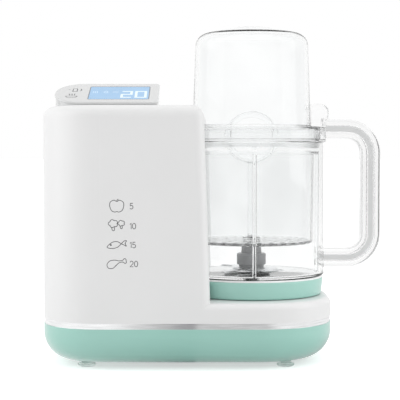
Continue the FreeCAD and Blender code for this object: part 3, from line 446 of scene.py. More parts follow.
# blending bowl: a wall under a thick rim band, four ribs that carry the basket, a bearing boss
bowl = {
    "band": 60.6, "outside": 58.2, "wall": 2.4, "bottom": 67.2, "floor": 2.6, "foot": 59.2,
    "rimBand": 176.5, "bandStep": 1.2, "rim": 188.0, "ledge": 178.0, "ledgeRadius": 56.8,
    "boss": 7.5, "bossBottom": 63.0, "bossTop": 79.0, "bearing": 5.0,
    "footRound": 3.0, "floorRound": 2.0, "bossRound": 1.0, "bossEdge": 0.6,
    "soft": 0.8, "edge": 0.5, "fine": 0.3,
    "ribs": 4, "ribDepth": 3.4, "ribWidth": 3.0, "ribTop": 165.7, "ribRoot": 1.0, "ribFoot": 0.4,
    "noseShare": 0.995, "noseDrop": 0.1,
}


def makeBowl():
    inside = bowl["outside"] - bowl["wall"]
    floorTop = bowl["bottom"] + bowl["floor"]
    mesh = latheMesh("bowlJug", [
        (bowl["bearing"], bowl["bossBottom"]),
        (bowl["boss"], bowl["bossBottom"], bowl["edge"]),
        (bowl["boss"], bowl["bottom"], bowl["soft"]),
        (bowl["foot"], bowl["bottom"], bowl["footRound"]),
        (bowl["outside"], bowl["rimBand"] - bowl["bandStep"], bowl["edge"]),
        (bowl["band"], bowl["rimBand"], bowl["edge"]),
        (bowl["band"], bowl["rim"], bowl["soft"]),
        (bowl["ledgeRadius"], bowl["rim"], bowl["soft"]),
        (bowl["ledgeRadius"], bowl["ledge"], bowl["fine"]),
        (inside, bowl["ledge"], bowl["fine"]),
        (inside, floorTop, bowl["floorRound"]),
        (bowl["boss"], floorTop, bowl["bossRound"]),
        (bowl["boss"], bowl["bossTop"], bowl["bossEdge"]),
        (bowl["bearing"], bowl["bossTop"])])
    # each rib is a bar with a round nose, sunk a little into wall and floor
    height = bowl["ribTop"] - floorTop + bowl["ribFoot"]
    middle = floorTop - bowl["ribFoot"] + height / 2
    nose = bowl["ribWidth"] / 2
    bar = bowl["ribDepth"] - nose + bowl["ribRoot"]
    root = inside + bowl["ribRoot"]
    drop = bowl["noseDrop"]
    tree, sockets = ringTree("bowlRibs", "UNION", {"Rib": "bar", "Nose": "round"})
    mesh = bakeNodes("bowlJug", mesh, tree, sockets, {
        "Finish": bowlClear,
        "Rib Count": bowl["ribs"], "Rib Radius": (root - bar / 2) * mm, "Rib Height": middle * mm,
        "Rib Size": (bar * mm, bowl["ribWidth"] * mm, height * mm),
        "Nose Count": bowl["ribs"], "Nose Radius": (root - bar) * mm, "Nose Height": (middle - drop / 2) * mm,
        "Nose Size": (nose * bowl["noseShare"] * mm, nose * mm, (height - drop) * mm)})
    placePiece("bowlJug", mesh, bowlClear, "bowl", "bowl_clear", "bowl_jug")


# steam basket: a flanged wall and a floor with five rings of holes
basket = {
    "bottom": 94.0, "floor": 2.2, "foot": 50.0, "top": 50.9, "wall": 2.1,
    "flange": 55.2, "flangeBottom": 166.0, "rim": 168.2, "footRound": 1.8, "flangeEdge": 0.4, "edge": 0.6,
    "hole": 1.9, "cutDepth": 6.6, "holeRings": ((13.0, 8), (22.0, 14), (31.0, 20), (40.0, 26), (45.0, 30)),
}


def makeBasket():
    floorTop = basket["bottom"] + basket["floor"]
    mesh = latheMesh("steamBasket", [
        (0.0, basket["bottom"]),
        (basket["foot"], basket["bottom"], basket["footRound"]),
        (basket["top"], basket["flangeBottom"], basket["flangeEdge"]),
        (basket["flange"], basket["flangeBottom"], basket["flangeEdge"]),
        (basket["flange"], basket["rim"], basket["edge"]),
        (basket["top"] - basket["wall"], basket["rim"], basket["edge"]),
        (basket["foot"] - basket["wall"], floorTop, basket["edge"]),
        (0.0, floorTop)])
    rings = {"Hole%d" % k: "round" for k in range(len(basket["holeRings"]))}
    tree, sockets = ringTree("basketHoles", "DIFFERENCE", rings)
    settings = {"Finish": basketClear}
    for ring, (radius, count) in zip(rings, basket["holeRings"]):
        settings[ring + " Count"] = count
        settings[ring + " Radius"] = radius * mm
        settings[ring + " Height"] = (basket["bottom"] + basket["floor"] / 2) * mm
        settings[ring + " Size"] = (basket["hole"] * mm, basket["hole"] * mm, basket["cutDepth"] * mm)
    mesh = bakeNodes("steamBasket", mesh, tree, sockets, settings)
    placePiece("steamBasket", mesh, basketClear, "basket", "basket_clear", "steam_basket", "basket_floor")


# lifting ring of the basket: a hoop on a stem
grip = {
    "centre": 180.0, "hoop": 19.5, "wire": 2.6, "turns": 96, "sides": 20,
    "base": 96.2, "foot": 7.0, "footHeight": 2.0, "stem": 3.0, "stemSides": 48,
    "footEdge": 0.3, "footRound": 0.8, "stemRound": 1.5, "stemEdge": 1.0,
}


def makeGrip():
    bm = bmesh.new()
    rows = []
    for k in range(grip["turns"]):
        turn = 2 * math.pi * k / grip["turns"]
        row = []
        for s in range(grip["sides"]):
            roll = 2 * math.pi * s / grip["sides"]
            reach = grip["hoop"] + grip["wire"] * math.cos(roll)
            row.append(addPoint(bm, bowlAxis + reach * math.sin(turn), grip["wire"] * math.sin(roll),
                                grip["centre"] + reach * math.cos(turn)))
        rows.append(row)
    skinRows(bm, rows, "ring")
    hoop = finishMesh(bm, "gripHoop")
    footTop = grip["base"] + grip["footHeight"]
    stemTop = grip["centre"] - grip["hoop"]
    stem = latheMesh("gripStem", [
        (0.0, grip["base"]),
        (grip["foot"], grip["base"], grip["footEdge"]),
        (grip["foot"], footTop, grip["footRound"]),
        (grip["stem"], footTop, grip["stemRound"]),
        (grip["stem"], stemTop, grip["stemEdge"]),
        (0.0, stemTop)], segments=grip["stemSides"])
    bm = bmesh.new()
    bm.from_mesh(hoop)
    bm.from_mesh(stem)
    mesh = bpy.data.meshes.new("basketGrip")
    bm.to_mesh(mesh)
    bm.free()
    placePiece("basketGrip", mesh, basketClear, "basket", "grip_white", "basket_grip")


# lid: a ring with a skirt inside the bowl's rim and a lip that centres the dome
lid = {
    "skirtIn": 53.0, "skirt": 55.2, "skirtBottom": 171.0, "step": 178.3, "outside": 56.3, "top": 188.6,
    "under": 185.8, "lip": 45.0, "lipTop": 190.0, "opening": 43.4,
    "skirtEdge": 0.4, "stepEdge": 0.3, "topRound": 1.5, "lipFoot": 0.8, "lipEdge": 0.5, "innerRound": 1.2,
}


def makeLid():
    mesh = latheMesh("bowlLid", [
        (lid["skirtIn"], lid["skirtBottom"], lid["skirtEdge"]),
        (lid["skirt"], lid["skirtBottom"], lid["skirtEdge"]),
        (lid["skirt"], lid["step"], lid["stepEdge"]),
        (lid["outside"], lid["step"], lid["stepEdge"]),
        (lid["outside"], lid["top"], lid["topRound"]),
        (lid["lip"], lid["top"], lid["lipFoot"]),
        (lid["lip"], lid["lipTop"], lid["lipEdge"]),
        (lid["opening"], lid["lipTop"], lid["lipEdge"]),
        (lid["opening"], lid["under"], lid["lipEdge"]),
        (lid["skirtIn"], lid["under"], lid["innerRound"])])
    placePiece("bowlLid", mesh, bowlClear, "lid", "bowl_clear", "bowl_lid")


# steam dome: a wall that leans in, a round shoulder and a faintly crowned top
dome = {
    "outside": 48.2, "bottom": 188.9, "shoulder": 45.6, "shoulderHeight": 262.6, "round": 10.5,
    "flat": 12.0, "flatRound": 60.0, "crown": 269.4, "wall": 2.0, "edge": 0.5, "roundSteps": 12,
}


def makeDome():
    wall = dome["wall"]
    mesh = latheMesh("steamDome", [
        (dome["outside"] - wall, dome["bottom"], dome["edge"]),
        (dome["outside"], dome["bottom"], dome["edge"]),
        (dome["shoulder"], dome["shoulderHeight"], dome["round"]),
        (dome["flat"], dome["crown"], dome["flatRound"]),
        (0.0, dome["crown"]),
        (0.0, dome["crown"] - wall),
        (dome["flat"], dome["crown"] - wall, dome["flatRound"]),
        (dome["shoulder"] - wall, dome["shoulderHeight"] - wall, dome["round"] - wall)],
        steps=dome["roundSteps"])
    placePiece("steamDome", mesh, domeClear, "dome", "bowl_clear", "steam_dome", "dome_crown")


# collar: the foot ring under the bowl
collar = {
    "hole": 22.0, "top": 66.4, "plate": 2.8, "outside": 58.4, "foot": 56.8, "wall": 3.0, "bottom": 52.5,
    "holeEdge": 0.4, "edge": 0.8, "footRound": 2.0,
}


def makeCollar():
    under = collar["top"] - collar["plate"]
    mesh = latheMesh("bowlCollar", [
        (collar["hole"], under, collar["holeEdge"]),
        (collar["outside"] - collar["wall"], under),
        (collar["foot"] - collar["wall"], collar["bottom"], collar["edge"]),
        (collar["foot"], collar["bottom"], collar["footRound"]),
        (collar["outside"], collar["top"], collar["edge"]),
        (collar["hole"], collar["top"], collar["holeEdge"])])
    placePiece("bowlCollar", mesh, mintCollar, "bowl", "tray_mint", "bowl_collar")


# gasket between bowl and collar: its lip hugs the bowl's round corner, the rest lies just under the floor
gasket = {
    "hole": 23.0, "outside": 58.0, "bottom": 66.4, "press": 0.05, "cornerStart": 56.2, "lipSteps": 5,
    "relief": 0.12, "reliefEdge": 54.0,
}


def makeGasket():
    corner = bowl["footRound"]
    lip = []
    for k in range(gasket["lipSteps"] + 1):
        out = (gasket["outside"] - gasket["cornerStart"]) * (1 - k / gasket["lipSteps"])
        rise = corner - math.sqrt(corner ** 2 - out ** 2)
        lip.append((gasket["cornerStart"] + out, bowl["bottom"] + gasket["press"] + rise))
    top = bowl["bottom"] - gasket["relief"]
    mesh = latheMesh("bowlGasket", [
        (gasket["hole"], gasket["bottom"]), (gasket["outside"], gasket["bottom"]), *lip,
        (gasket["reliefEdge"], top), (gasket["hole"], top)])
    placePiece("bowlGasket", mesh, whiteSilicone, "bowl", "seal_rubber", "bowl_gasket")


# hub of the blades: a stepped hood over the bowl's boss
hub = {
    "bore": 8.2, "bottom": 70.6, "neck": 10.2, "step": 75.8, "outside": 11.9, "shoulder": 84.9,
    "cap": 7.8, "capFlare": 0.6, "top": 92.2, "capWall": 2.2, "shaft": 3.0, "hood": 80.6, "sides": 96,
    "edge": 0.3, "neckRound": 0.4, "stepRound": 0.6, "shoulderRound": 1.0, "capFoot": 0.8, "capRound": 1.5,
}


def makeHub():
    capUnder = hub["top"] - hub["capWall"]
    mesh = latheMesh("bladeHub", [
        (hub["bore"], hub["bottom"], hub["edge"]),
        (hub["neck"], hub["bottom"], hub["edge"]),
        (hub["neck"], hub["step"], hub["neckRound"]),
        (hub["outside"], hub["step"], hub["stepRound"]),
        (hub["outside"], hub["shoulder"], hub["shoulderRound"]),
        (hub["cap"] + hub["capFlare"], hub["shoulder"], hub["capFoot"]),
        (hub["cap"], hub["top"], hub["capRound"]),
        (0.0, hub["top"]), (0.0, capUnder), (hub["shaft"], capUnder),
        (hub["shaft"], hub["hood"]), (hub["bore"], hub["hood"])], segments=hub["sides"])
    placePiece("bladeHub", mesh, hubPlastic, "blade", "hub_grey", "blade_hub")


# bow handle: an I-section swept along a rounded bracket, its roots shaped to the bowl bands
handle = {
    "start": 58.0, "reach": 104.6, "top": 194.3, "bottom": 74.3, "round": 27.0, "roundSteps": 14,
    "topRoot": 60.65, "bottomRoot": 59.25, "bar": 15.0, "half": 8.5, "flange": 4.9, "web": 3.0,
    "edge": 1.2, "innerEdge": 0.8, "edgeSteps": 4, "shadedWebFacing": 0.5, "shadedWebMargin": 1.0,
}


def makeHandle():
    path = roundedLine([
        (handle["start"], handle["top"]),
        (handle["reach"], handle["top"], handle["round"]),
        (handle["reach"], handle["bottom"], handle["round"]),
        (handle["start"], handle["bottom"])], handle["roundSteps"], closed=False)
    bar, half, flange, web = handle["bar"], handle["half"], handle["flange"], handle["web"]
    edge, inner = handle["edge"], handle["innerEdge"]
    front = [(0.0, half, edge), (flange, half, inner), (flange, web, inner),
             (bar - flange, web, inner), (bar - flange, half, inner), (bar, half, edge)]
    back = [(depth, -side, rounding) for depth, side, rounding in reversed(front)]
    section = roundedLine(front + back, handle["edgeSteps"])
    last = len(path) - 1
    roots = {0: handle["topRoot"], last: handle["bottomRoot"]}
    bm = bmesh.new()
    rows = []
    for i, point in enumerate(path):
        ahead = (path[min(i + 1, last)] - path[max(i - 1, 0)]).normalized()
        inward = Vector((ahead.y, -ahead.x))
        row = []
        for depth, side in section:
            x, z = point + inward * depth
            if i in roots:  # both ends lie on the round of the bowl
                x = math.sqrt(roots[i] ** 2 - side ** 2)
            row.append(addPoint(bm, bowlAxis + x, side, z))
        rows.append(row)
    skinRows(bm, rows, "capped")
    mesh = finishMesh(bm, "bowlHandle")
    piece = placePiece("bowlHandle", mesh, handleClear, "bowl", "handle_clear", "bowl_handle")
    # a second, darker finish for the web: painted shade where the channel between the flanges lies in shade
    piece.data.materials.append(handleFrostAndShade)
    webReach = (web + handle["shadedWebMargin"]) * mm
    for face in piece.data.polygons:  # the web between the flanges is frosted, and darker as painted shade of the channel
        if abs(face.normal.y) > handle["shadedWebFacing"] and abs(face.center.y) < webReach:
            face.material_index = 1


# swept blades: ground to an edge along the outline
blades = {
    "reach": 33.0, "tipRise": 1.5, "belly": 25.0, "bellyHalf": 8.5, "bellyRound": 12.0,
    "waist": 19.0, "waistRise": 2.5, "waistRound": 8.0, "root": 9.0, "rootHalf": 12.5, "roundSteps": 8,
    "thick": 1.2, "ground": 1.6, "edge": 0.25, "hole": 10.2, "holeSides": 40, "sharpAngle": 20.0,
    "lower": (70.9, 47.0), "upper": (72.4, 137.0),  # height and turn of each
}


def makeBlade(name, low, turn, node):
    arm = [(blades["root"], -blades["rootHalf"]),
           (blades["belly"], -blades["bellyHalf"], blades["bellyRound"]),
           (blades["reach"], blades["tipRise"]),
           (blades["waist"], blades["waistRise"], blades["waistRound"]),
           (blades["root"], blades["rootHalf"])]
    otherArm = [(-x, -y, *rounding) for x, y, *rounding in arm]
    outline = roundedLine(arm + otherArm, blades["roundSteps"])
    ground = []
    for i, p in enumerate(outline):
        along = (outline[(i + 1) % len(outline)] - outline[i - 1]).normalized()
        ground.append(p + Vector((-along.y, along.x)) * blades["ground"])
    eye = []
    for k in range(blades["holeSides"]):
        angle = 2 * math.pi * k / blades["holeSides"]
        eye.append(Vector((math.cos(angle), math.sin(angle))) * blades["hole"])
    spin = Matrix.Rotation(math.radians(turn), 2)
    bm = bmesh.new()

    def ring(points, height):
        turned = [spin @ p for p in points]
        return [addPoint(bm, bowlAxis + p.x, p.y, height) for p in turned]

    high = low + blades["thick"]
    under, edge, top = ring(outline, low), ring(outline, low + blades["edge"]), ring(ground, high)
    eyeLow, eyeHigh = ring(eye, low), ring(eye, high)
    skinRows(bm, [under, edge, top], "open")
    skinRows(bm, [eyeHigh, eyeLow], "open")
    for outer, inner in ((top, eyeHigh), (under, eyeLow)):
        edges = []
        for loop in (outer, inner):
            for i in range(len(loop)):
                pair = (loop[i], loop[(i + 1) % len(loop)])
                edges.append(bm.edges.get(pair) or bm.edges.new(pair))
        bmesh.ops.triangle_fill(bm, use_beauty=True, edges=edges)
    placePiece(name, finishMesh(bm, name, blades["sharpAngle"]), bladeSteel, "blade", "steel", node)


# lock tab of the lid: a pillow-edged hook over the handle's root
tab = {
    "inner": 48.6, "notch": 58.4, "outer": 62.9, "foot": 188.6, "hook": 194.9, "top": 207.8, "half": 9.0,
    "round": 8.0, "notchRound": 0.6, "hookRound": 0.8, "backRound": 2.0, "roundSteps": 10,
    "pillow": 1.2, "pillowSteps": 5,
}


def insetLine(points, inset):
    line = []
    for i, p in enumerate(points):
        line.append(p + sideStep(points[i - 1], p, points[(i + 1) % len(points)], inset))
    return line


def makeTab():
    profile = roundedLine([
        (tab["inner"], tab["foot"]),
        (tab["notch"], tab["foot"]),
        (tab["notch"], tab["hook"], tab["notchRound"]),
        (tab["outer"], tab["hook"], tab["hookRound"]),
        (tab["outer"], tab["top"], tab["round"]),
        (tab["inner"], tab["top"], tab["backRound"])], tab["roundSteps"])
    turns = [math.pi / 2 * k / tab["pillowSteps"] for k in range(tab["pillowSteps"] + 1)]
    bm = bmesh.new()
    rows = []
    for side, order in ((-1, turns), (1, turns[::-1])):
        for turn in order:
            outline = insetLine(profile, tab["pillow"] * (1 - math.sin(turn)))
            y = side * (tab["half"] - tab["pillow"] * (1 - math.cos(turn)))
            rows.append([addPoint(bm, bowlAxis + p.x, y, p.y) for p in outline])
    skinRows(bm, rows, "capped")
    placePiece("lockTab", finishMesh(bm, "lockTab"), tabClear, "lid", "panel_white", "lid_lock_tab")


# print: thin ribbons of ink along lines on a plane
inkThick = 0.02


def planeOf(origin, across, up):
    across, up = Vector(across), Vector(up)
    out = across.cross(up)
    return lambda u, v, n: (Vector(origin) + across * u + up * v + out * n) * mm


def arc(u, v, wide, high, start, end, steps=20):
    angles = [math.radians(start + (end - start) * k / steps) for k in range(steps + 1)]
    return [(u + wide * math.cos(a), v + high * math.sin(a)) for a in angles]


# a smooth line through the points
def flowLine(points, closed=False, steps=6):
    dots = [Vector(p) for p in points]
    path = [dots[-1], *dots, *dots[:2]] if closed else [dots[0], *dots, dots[-1]]
    line = []
    for a, b, c, d in zip(path, path[1:], path[2:], path[3:]):
        for s in range(steps):
            t = s / steps
            line.append(0.5 * (2 * b + (c - a) * t + (2 * a - 5 * b + 4 * c - d) * t ** 2
                               + (3 * b - a - 3 * c + d) * t ** 3))
    line.append(path[-2])
    return [tuple(p) for p in line]


def moved(strokes, u, v, size=1.0):
    return [[(u + x * size, v + y * size) for x, y in stroke] for stroke in strokes]


def printStrokes(name, strokes, width, plane, base, ink, slot):
    bm = bmesh.new()
    for stroke in strokes:
        dots = [Vector(p) for p in stroke]
        closed = (dots[0] - dots[-1]).length < samePoint
        if closed:
            dots.pop()
        count = len(dots)
        rows = []
        for i, p in enumerate(dots):
            before = dots[i - 1] if closed or i > 0 else p * 2 - dots[1]
            after = dots[(i + 1) % count] if closed or i < count - 1 else p * 2 - dots[i - 1]
            step = sideStep(before, p, after, width / 2)
            left, right = p + step, p - step
            rows.append([bm.verts.new(plane(*spot)) for spot in (
                (left.x, left.y, base), (right.x, right.y, base),
                (right.x, right.y, base + inkThick), (left.x, left.y, base + inkThick))])
        skinRows(bm, rows, "ring" if closed else "capped")
    bmesh.ops.recalc_face_normals(bm, faces=bm.faces)
    mesh = bpy.data.meshes.new(name)
    bm.to_mesh(mesh)
    bm.free()
    placePiece(name, mesh, ink, "base", slot)


# cooking guide on the front: four generic food pictograms with plain numbers
digits = {
    "0": [arc(0.31, 0.5, 0.29, 0.5, 90, 450, 28)],
    "1": [[(0.02, 0.8), (0.24, 1.0), (0.24, 0.0)]],
    "2": [arc(0.3, 0.7, 0.27, 0.3, 165, -32, 14) + [(0.03, 0.0), (0.6, 0.0)]],
    "5": [[(0.54, 1.0), (0.12, 1.0), (0.07, 0.56)] + arc(0.28, 0.32, 0.29, 0.32, 128, -145, 16)],
}
digitStep = {"0": 0.8, "1": 0.44, "2": 0.78, "5": 0.76}
floret = {"wide": 2.9, "high": 2.3, "bulge": 0.8, "bulges": 5, "steps": 60, "smallSize": 0.72}


def floretLine():
    line = []
    for k in range(floret["steps"] + 1):
        a = 2 * math.pi * k / floret["steps"]
        swell = floret["bulge"] * abs(math.sin(floret["bulges"] / 2 * a))
        line.append(((floret["wide"] + swell) * math.cos(a), (floret["high"] + swell) * math.sin(a)))
    return line


foods = {
    "apple": [
        flowLine([(0.0, 3.6), (2.2, 4.5), (4.9, 3.0), (5.3, 0.0), (4.0, -3.3), (1.6, -4.5), (0.0, -4.1),
                  (-1.6, -4.5), (-4.0, -3.3), (-5.3, 0.0), (-4.9, 3.0), (-2.2, 4.5)], closed=True),
        flowLine([(0.0, 3.6), (0.3, 4.6), (1.2, 5.4)])],
    "florets": [
        *moved([floretLine()], -2.8, 1.9),
        *moved([floretLine()], 3.4, 2.2, floret["smallSize"]),
        flowLine([(-3.9, -0.7), (-3.3, -3.2), (-1.9, -3.2), (-1.6, -0.7)]),
        flowLine([(2.6, 0.2), (2.9, -1.7), (4.0, -1.7), (4.2, 0.2)])],
    "fish": [
        flowLine([(3.4, 0.9), (0.4, 2.6), (-3.6, 2.0), (-7.4, -1.6), (-3.4, -2.6), (0.6, -1.6), (3.4, 0.9)]),
        flowLine([(3.4, 0.9), (5.4, 3.0), (7.5, 3.4)]),
        flowLine([(3.4, 0.9), (5.6, 0.0), (7.3, -1.0)]),
        [(7.5, 3.4), (6.3, 1.3), (7.3, -1.0)],
        arc(-4.6, 0.0, 0.45, 0.45, 0, 360, 12)],
    "drumstick": [
        flowLine([(4.6, 2.9), (1.8, 2.3), (-1.6, 2.9), (-5.4, 2.2), (-7.5, -0.6), (-6.4, -3.2), (-3.2, -3.4),
                  (-0.8, -1.4), (1.9, 1.0), (4.8, 1.5)]),
        flowLine([(4.6, 2.9), (5.6, 4.0), (6.9, 3.6), (7.0, 2.4), (7.3, 1.2), (6.2, 0.4), (4.8, 1.5)])],
}
guide = {
    "face": -75.0, "pictures": -74.4, "numbers": -64.5, "digit": 4.3, "line": 0.5,
    "rows": (("apple", "5", 126.8), ("florets", "10", 111.6),
             ("fish", "15", 97.2), ("drumstick", "20", 82.8)),
}


def makeGuide():
    strokes = []
    for food, number, height in guide["rows"]:
        strokes += moved(foods[food], guide["pictures"], height)
        place = guide["numbers"]
        for figure in number:
            strokes += moved(digits[figure], place, height - guide["digit"] / 2, guide["digit"])
            place += digitStep[figure] * guide["digit"]
    plane = planeOf((0.0, guide["face"], 0.0), (1, 0, 0), (0, 0, 1))
    printStrokes("cookingGuide", strokes, guide["line"], plane, 0.0, printInk, "drive_grey")


# sloped panel: a lit number and three signs on the display, a thin dark line round the window as painted
# shade of its recess, and two touch signs
panel = {
    "corner": (-126.1, -53.899, 204.880), "tilt": 20.505, "top": 1.6,
    "left": 27.4, "right": 74.9, "low": 7.5, "high": 39.8, "windowShadeRound": 1.2, "windowShadeLine": 0.7,
    "number": (("2", 53.4), ("0", 64.6)), "digitLow": 12.2, "digitWide": 7.4, "digitHigh": 15.0,
    "digitLine": 2.0, "signLine": 0.8, "touchLine": 0.6,
}
segments = {
    "2": [(0.0, 1.0), (1.0, 1.0), (1.0, 0.5), (0.0, 0.5), (0.0, 0.0), (1.0, 0.0)],
    "0": [(0.0, 0.0), (1.0, 0.0), (1.0, 1.0), (0.0, 1.0), (0.0, 0.0)],
}
displaySigns = [
    *([(u, 23.0), (u, 28.2)] for u in (30.6, 32.1, 33.6)),  # three bars
    [(38.2, 25.6), (42.8, 25.6)], arc(40.5, 25.6, 1.2, 2.8, 0, 360),  # a crossed oval
    [(46.0, 24.2), (50.4, 24.2)], [(46.0, 27.2), (50.4, 27.2)],  # two lines
]
touchSigns = [
    [(10.4, 32.4), (11.6, 32.4)],  # a jug between a dash and a curl
    flowLine([(14.0, 27.0), (14.0, 33.6), (15.6, 34.6), (17.2, 33.6), (17.2, 27.0)]),
    [(13.4, 27.0), (17.8, 27.0)],
    flowLine([(19.6, 28.0), (20.8, 30.6), (19.8, 34.0)]),
    flowLine([(9.6, 15.4), (10.6, 12.4), (14.0, 11.4), (17.4, 12.4), (18.4, 15.4)]),  # a bowl under steam
    [(9.0, 15.4), (19.0, 15.4)],
    *(flowLine([(u, 17.2), (u + 0.5, 18.6), (u - 0.3, 20.0), (u + 0.3, 21.4)]) for u in (12.0, 14.0, 16.0)),
]


def makePanelPrint():
    tilt = math.radians(panel["tilt"])
    plane = planeOf(panel["corner"], (1, 0, 0), (0, math.cos(tilt), math.sin(tilt)))
    top = panel["top"]
    number = []
    for figure, u in panel["number"]:
        number.append([(u + panel["digitWide"] * x, panel["digitLow"] + panel["digitHigh"] * y)
                       for x, y in segments[figure]])
    printStrokes("displayNumber", number, panel["digitLine"], plane, top, displayWhite, "panel_white")
    printStrokes("displaySigns", displaySigns, panel["signLine"], plane, top, displayPale, "panel_white")
    # painted shade: a thin dark line round the display window stands in for the shadow of its recess
    low, high, rounding = panel["low"], panel["high"], panel["windowShadeRound"]
    edge = roundedLine([
        (panel["left"], low, rounding), (panel["right"], low, rounding),
        (panel["right"], high, rounding), (panel["left"], high, rounding)])
    printStrokes("displayWindowShade", [edge + edge[:1]], panel["windowShadeLine"], plane, top, windowShadeInk, "drive_grey")
    printStrokes("touchSigns", touchSigns, panel["touchLine"], plane, top, printInk, "drive_grey")


makeBowl()
makeBasket()
makeGrip()
makeLid()
makeDome()
makeCollar()
makeGasket()
makeHub()
makeHandle()
makeBlade("lowerBlade", *blades["lower"], "lower_blade")
makeBlade("upperBlade", *blades["upper"], "upper_blade")
makeTab()
print("bowl, basket, lid and blades made")
makeGuide()
makePanelPrint()
print("print made")

# studio, in metres
# backdrop: white to the camera, with a grey flag at each side for gloss and glass
backdrop = {"fillLight": 0.87, "flagStart": 0.68, "flagEnd": 0.96, "flagGrey": (0.48, 0.49, 0.50, 1.0)}


def makeBackdrop():
    world = bpy.data.worlds.new("studioWorld")
    world.use_nodes = True
    bpy.context.scene.world = world
    tree = world.node_tree
    nodes, links = tree.nodes, tree.links
    nodes.clear()
    coords = nodes.new("ShaderNodeTexCoord")
    parts = nodes.new("ShaderNodeSeparateXYZ")
    links.new(coords.outputs["Generated"], parts.inputs["Vector"])
    flags = nodes.new("ShaderNodeValToRGB")
    middle, side = flags.color_ramp.elements
    middle.position, middle.color = backdrop["flagStart"], white
    side.position, side.color = backdrop["flagEnd"], backdrop["flagGrey"]
    links.new(mathNode(tree, "ABSOLUTE", parts.outputs["X"]), flags.inputs["Fac"])
    path = nodes.new("ShaderNodeLightPath")
    plain = nodes.new("ShaderNodeMix")
    plain.data_type = "RGBA"
    links.new(path.outputs["Is Camera Ray"], plain.inputs["Factor"])
    links.new(flags.outputs["Color"], plain.inputs["A"])
    plain.inputs["B"].default_value = white
    seen = nodes.new("ShaderNodeBackground")
    links.new(plain.outputs["Result"], seen.inputs["Color"])
    # all other rays get an even fill light
    fill = nodes.new("ShaderNodeBackground")
    fill.inputs["Color"].default_value = white
    fill.inputs["Strength"].default_value = backdrop["fillLight"]
    sight = mathNode(tree, "MAXIMUM", path.outputs["Is Glossy Ray"], path.outputs["Is Transmission Ray"])
    sight = mathNode(tree, "MAXIMUM", path.outputs["Is Camera Ray"], sight)
    output = nodes.new("ShaderNodeOutputWorld")
    links.new(mixShaders(tree, sight, fill.outputs["Background"], seen.outputs["Background"]),
              output.inputs["Surface"])


# pale floor: lighter to the camera and through clear pieces, and a grey card in reflections
floorSet = {
    "size": 60.0, "colour": (0.80, 0.80, 0.80, 1.0), "roughness": 0.9, "specular": 0.1,
    "cameraLift": 0.53, "glassLift": 0.25, "cardHalf": 0.20,
    "card": ((0.25, (1.0, 1.0, 1.0)), (0.36, (0.62, 0.62, 0.62)), (0.46, (0.30, 0.30, 0.31)),
             (0.464, (0.60, 0.60, 0.60)), (0.75, (0.62, 0.62, 0.62)), (0.95, (0.9, 0.9, 0.9))),
}


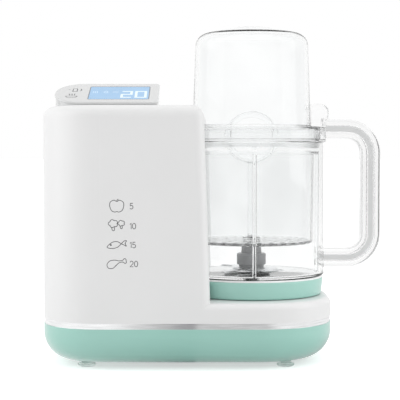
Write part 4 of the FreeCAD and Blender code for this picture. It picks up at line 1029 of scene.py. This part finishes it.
def makeFloor():
    half = floorSet["size"] / 2
    corners = [(-half, -half, 0), (half, -half, 0), (half, half, 0), (-half, half, 0)]
    mesh = bpy.data.meshes.new("floor")
    mesh.from_pydata(corners, [], [(0, 1, 2, 3)])
    floor = bpy.data.objects.new("floor", mesh)
    bpy.context.scene.collection.objects.link(floor)
    material, tree, shader = newMaterial("paleFloor")
    nodes, links = tree.nodes, tree.links
    shader.inputs["Base Color"].default_value = floorSet["colour"]
    shader.inputs["Roughness"].default_value = floorSet["roughness"]
    shader.inputs["Specular IOR Level"].default_value = floorSet["specular"]
    shader.inputs["Emission Color"].default_value = white
    path = nodes.new("ShaderNodeLightPath")
    glossy, through = path.outputs["Is Glossy Ray"], path.outputs["Is Transmission Ray"]
    cameraLift = mathNode(tree, "MULTIPLY", path.outputs["Is Camera Ray"], floorSet["cameraLift"])
    glassLift = mathNode(tree, "MULTIPLY", through, floorSet["glassLift"])
    links.new(mathNode(tree, "ADD", cameraLift, glassLift), shader.inputs["Emission Strength"])
    # the card goes from white to grey and has one sharp edge
    coords = nodes.new("ShaderNodeTexCoord")
    parts = nodes.new("ShaderNodeSeparateXYZ")
    links.new(coords.outputs["Object"], parts.inputs["Vector"])
    across = nodes.new("ShaderNodeMapRange")
    across.inputs["From Min"].default_value = -floorSet["cardHalf"]
    across.inputs["From Max"].default_value = floorSet["cardHalf"]
    links.new(parts.outputs["X"], across.inputs["Value"])
    card = nodes.new("ShaderNodeValToRGB")
    stops = card.color_ramp.elements
    stops.remove(stops[1])
    for k, (position, tone) in enumerate(floorSet["card"]):
        stop = stops.new(position) if k else stops[0]
        stop.position = position
        stop.color = (*tone, 1.0)
    links.new(across.outputs["Result"], card.inputs["Fac"])
    mirrored = nodes.new("ShaderNodeEmission")
    links.new(card.outputs["Color"], mirrored.inputs["Color"])
    inMirror = mathNode(tree, "SUBTRACT", glossy, through)
    inMirror.node.use_clamp = True
    links.new(mixShaders(tree, inMirror, shader.outputs["BSDF"], mirrored.outputs["Emission"]),
              nodes["Material Output"].inputs["Surface"])
    mesh.materials.append(material)


# soft lamps, all turned to the middle of the part
lampAim = Vector((0.0, 0.0, 0.12))
lamps = {
    "leftSoftbox": {"place": (-1.2, -0.2, 0.4), "size": (1.0, 1.2), "power": 5.4},
    "rightSoftbox": {"place": (1.2, -0.3, 0.5), "size": (0.8, 1.0), "power": 4.0},
    "topSoftbox": {"place": (0.0, 0.1, 1.2), "size": (1.0, 0.8), "power": 1.6},
}


def makeLamps():
    for name, setting in lamps.items():
        data = bpy.data.lights.new(name, "AREA")
        data.shape = "RECTANGLE"
        data.size, data.size_y = setting["size"]
        data.energy = setting["power"]
        lamp = bpy.data.objects.new(name, data)
        lamp.location = setting["place"]
        lamp.rotation_euler = (lampAim - lamp.location).to_track_quat("-Z", "Y").to_euler()
        lamp.visible_transmission = False  # no lamp shows through the clear plastic
        bpy.context.scene.collection.objects.link(lamp)


# camera: a long lens at tower height, one metre off, a little downward
cameraSet = {"place": (-0.0112, -1.0, 0.167), "lens": 109.8, "sensor": 36.0, "pitch": 87.8}


def makeCamera():
    data = bpy.data.cameras.new("productCamera")
    data.lens = cameraSet["lens"]
    data.sensor_width = cameraSet["sensor"]
    camera = bpy.data.objects.new("productCamera", data)
    camera.location = cameraSet["place"]
    camera.rotation_euler = (math.radians(cameraSet["pitch"]), 0.0, 0.0)
    bpy.context.scene.collection.objects.link(camera)
    bpy.context.scene.camera = camera


makeBackdrop()
makeFloor()
makeLamps()
makeCamera()
bpy.context.scene.view_settings.view_transform = "Standard"
print("studio made")
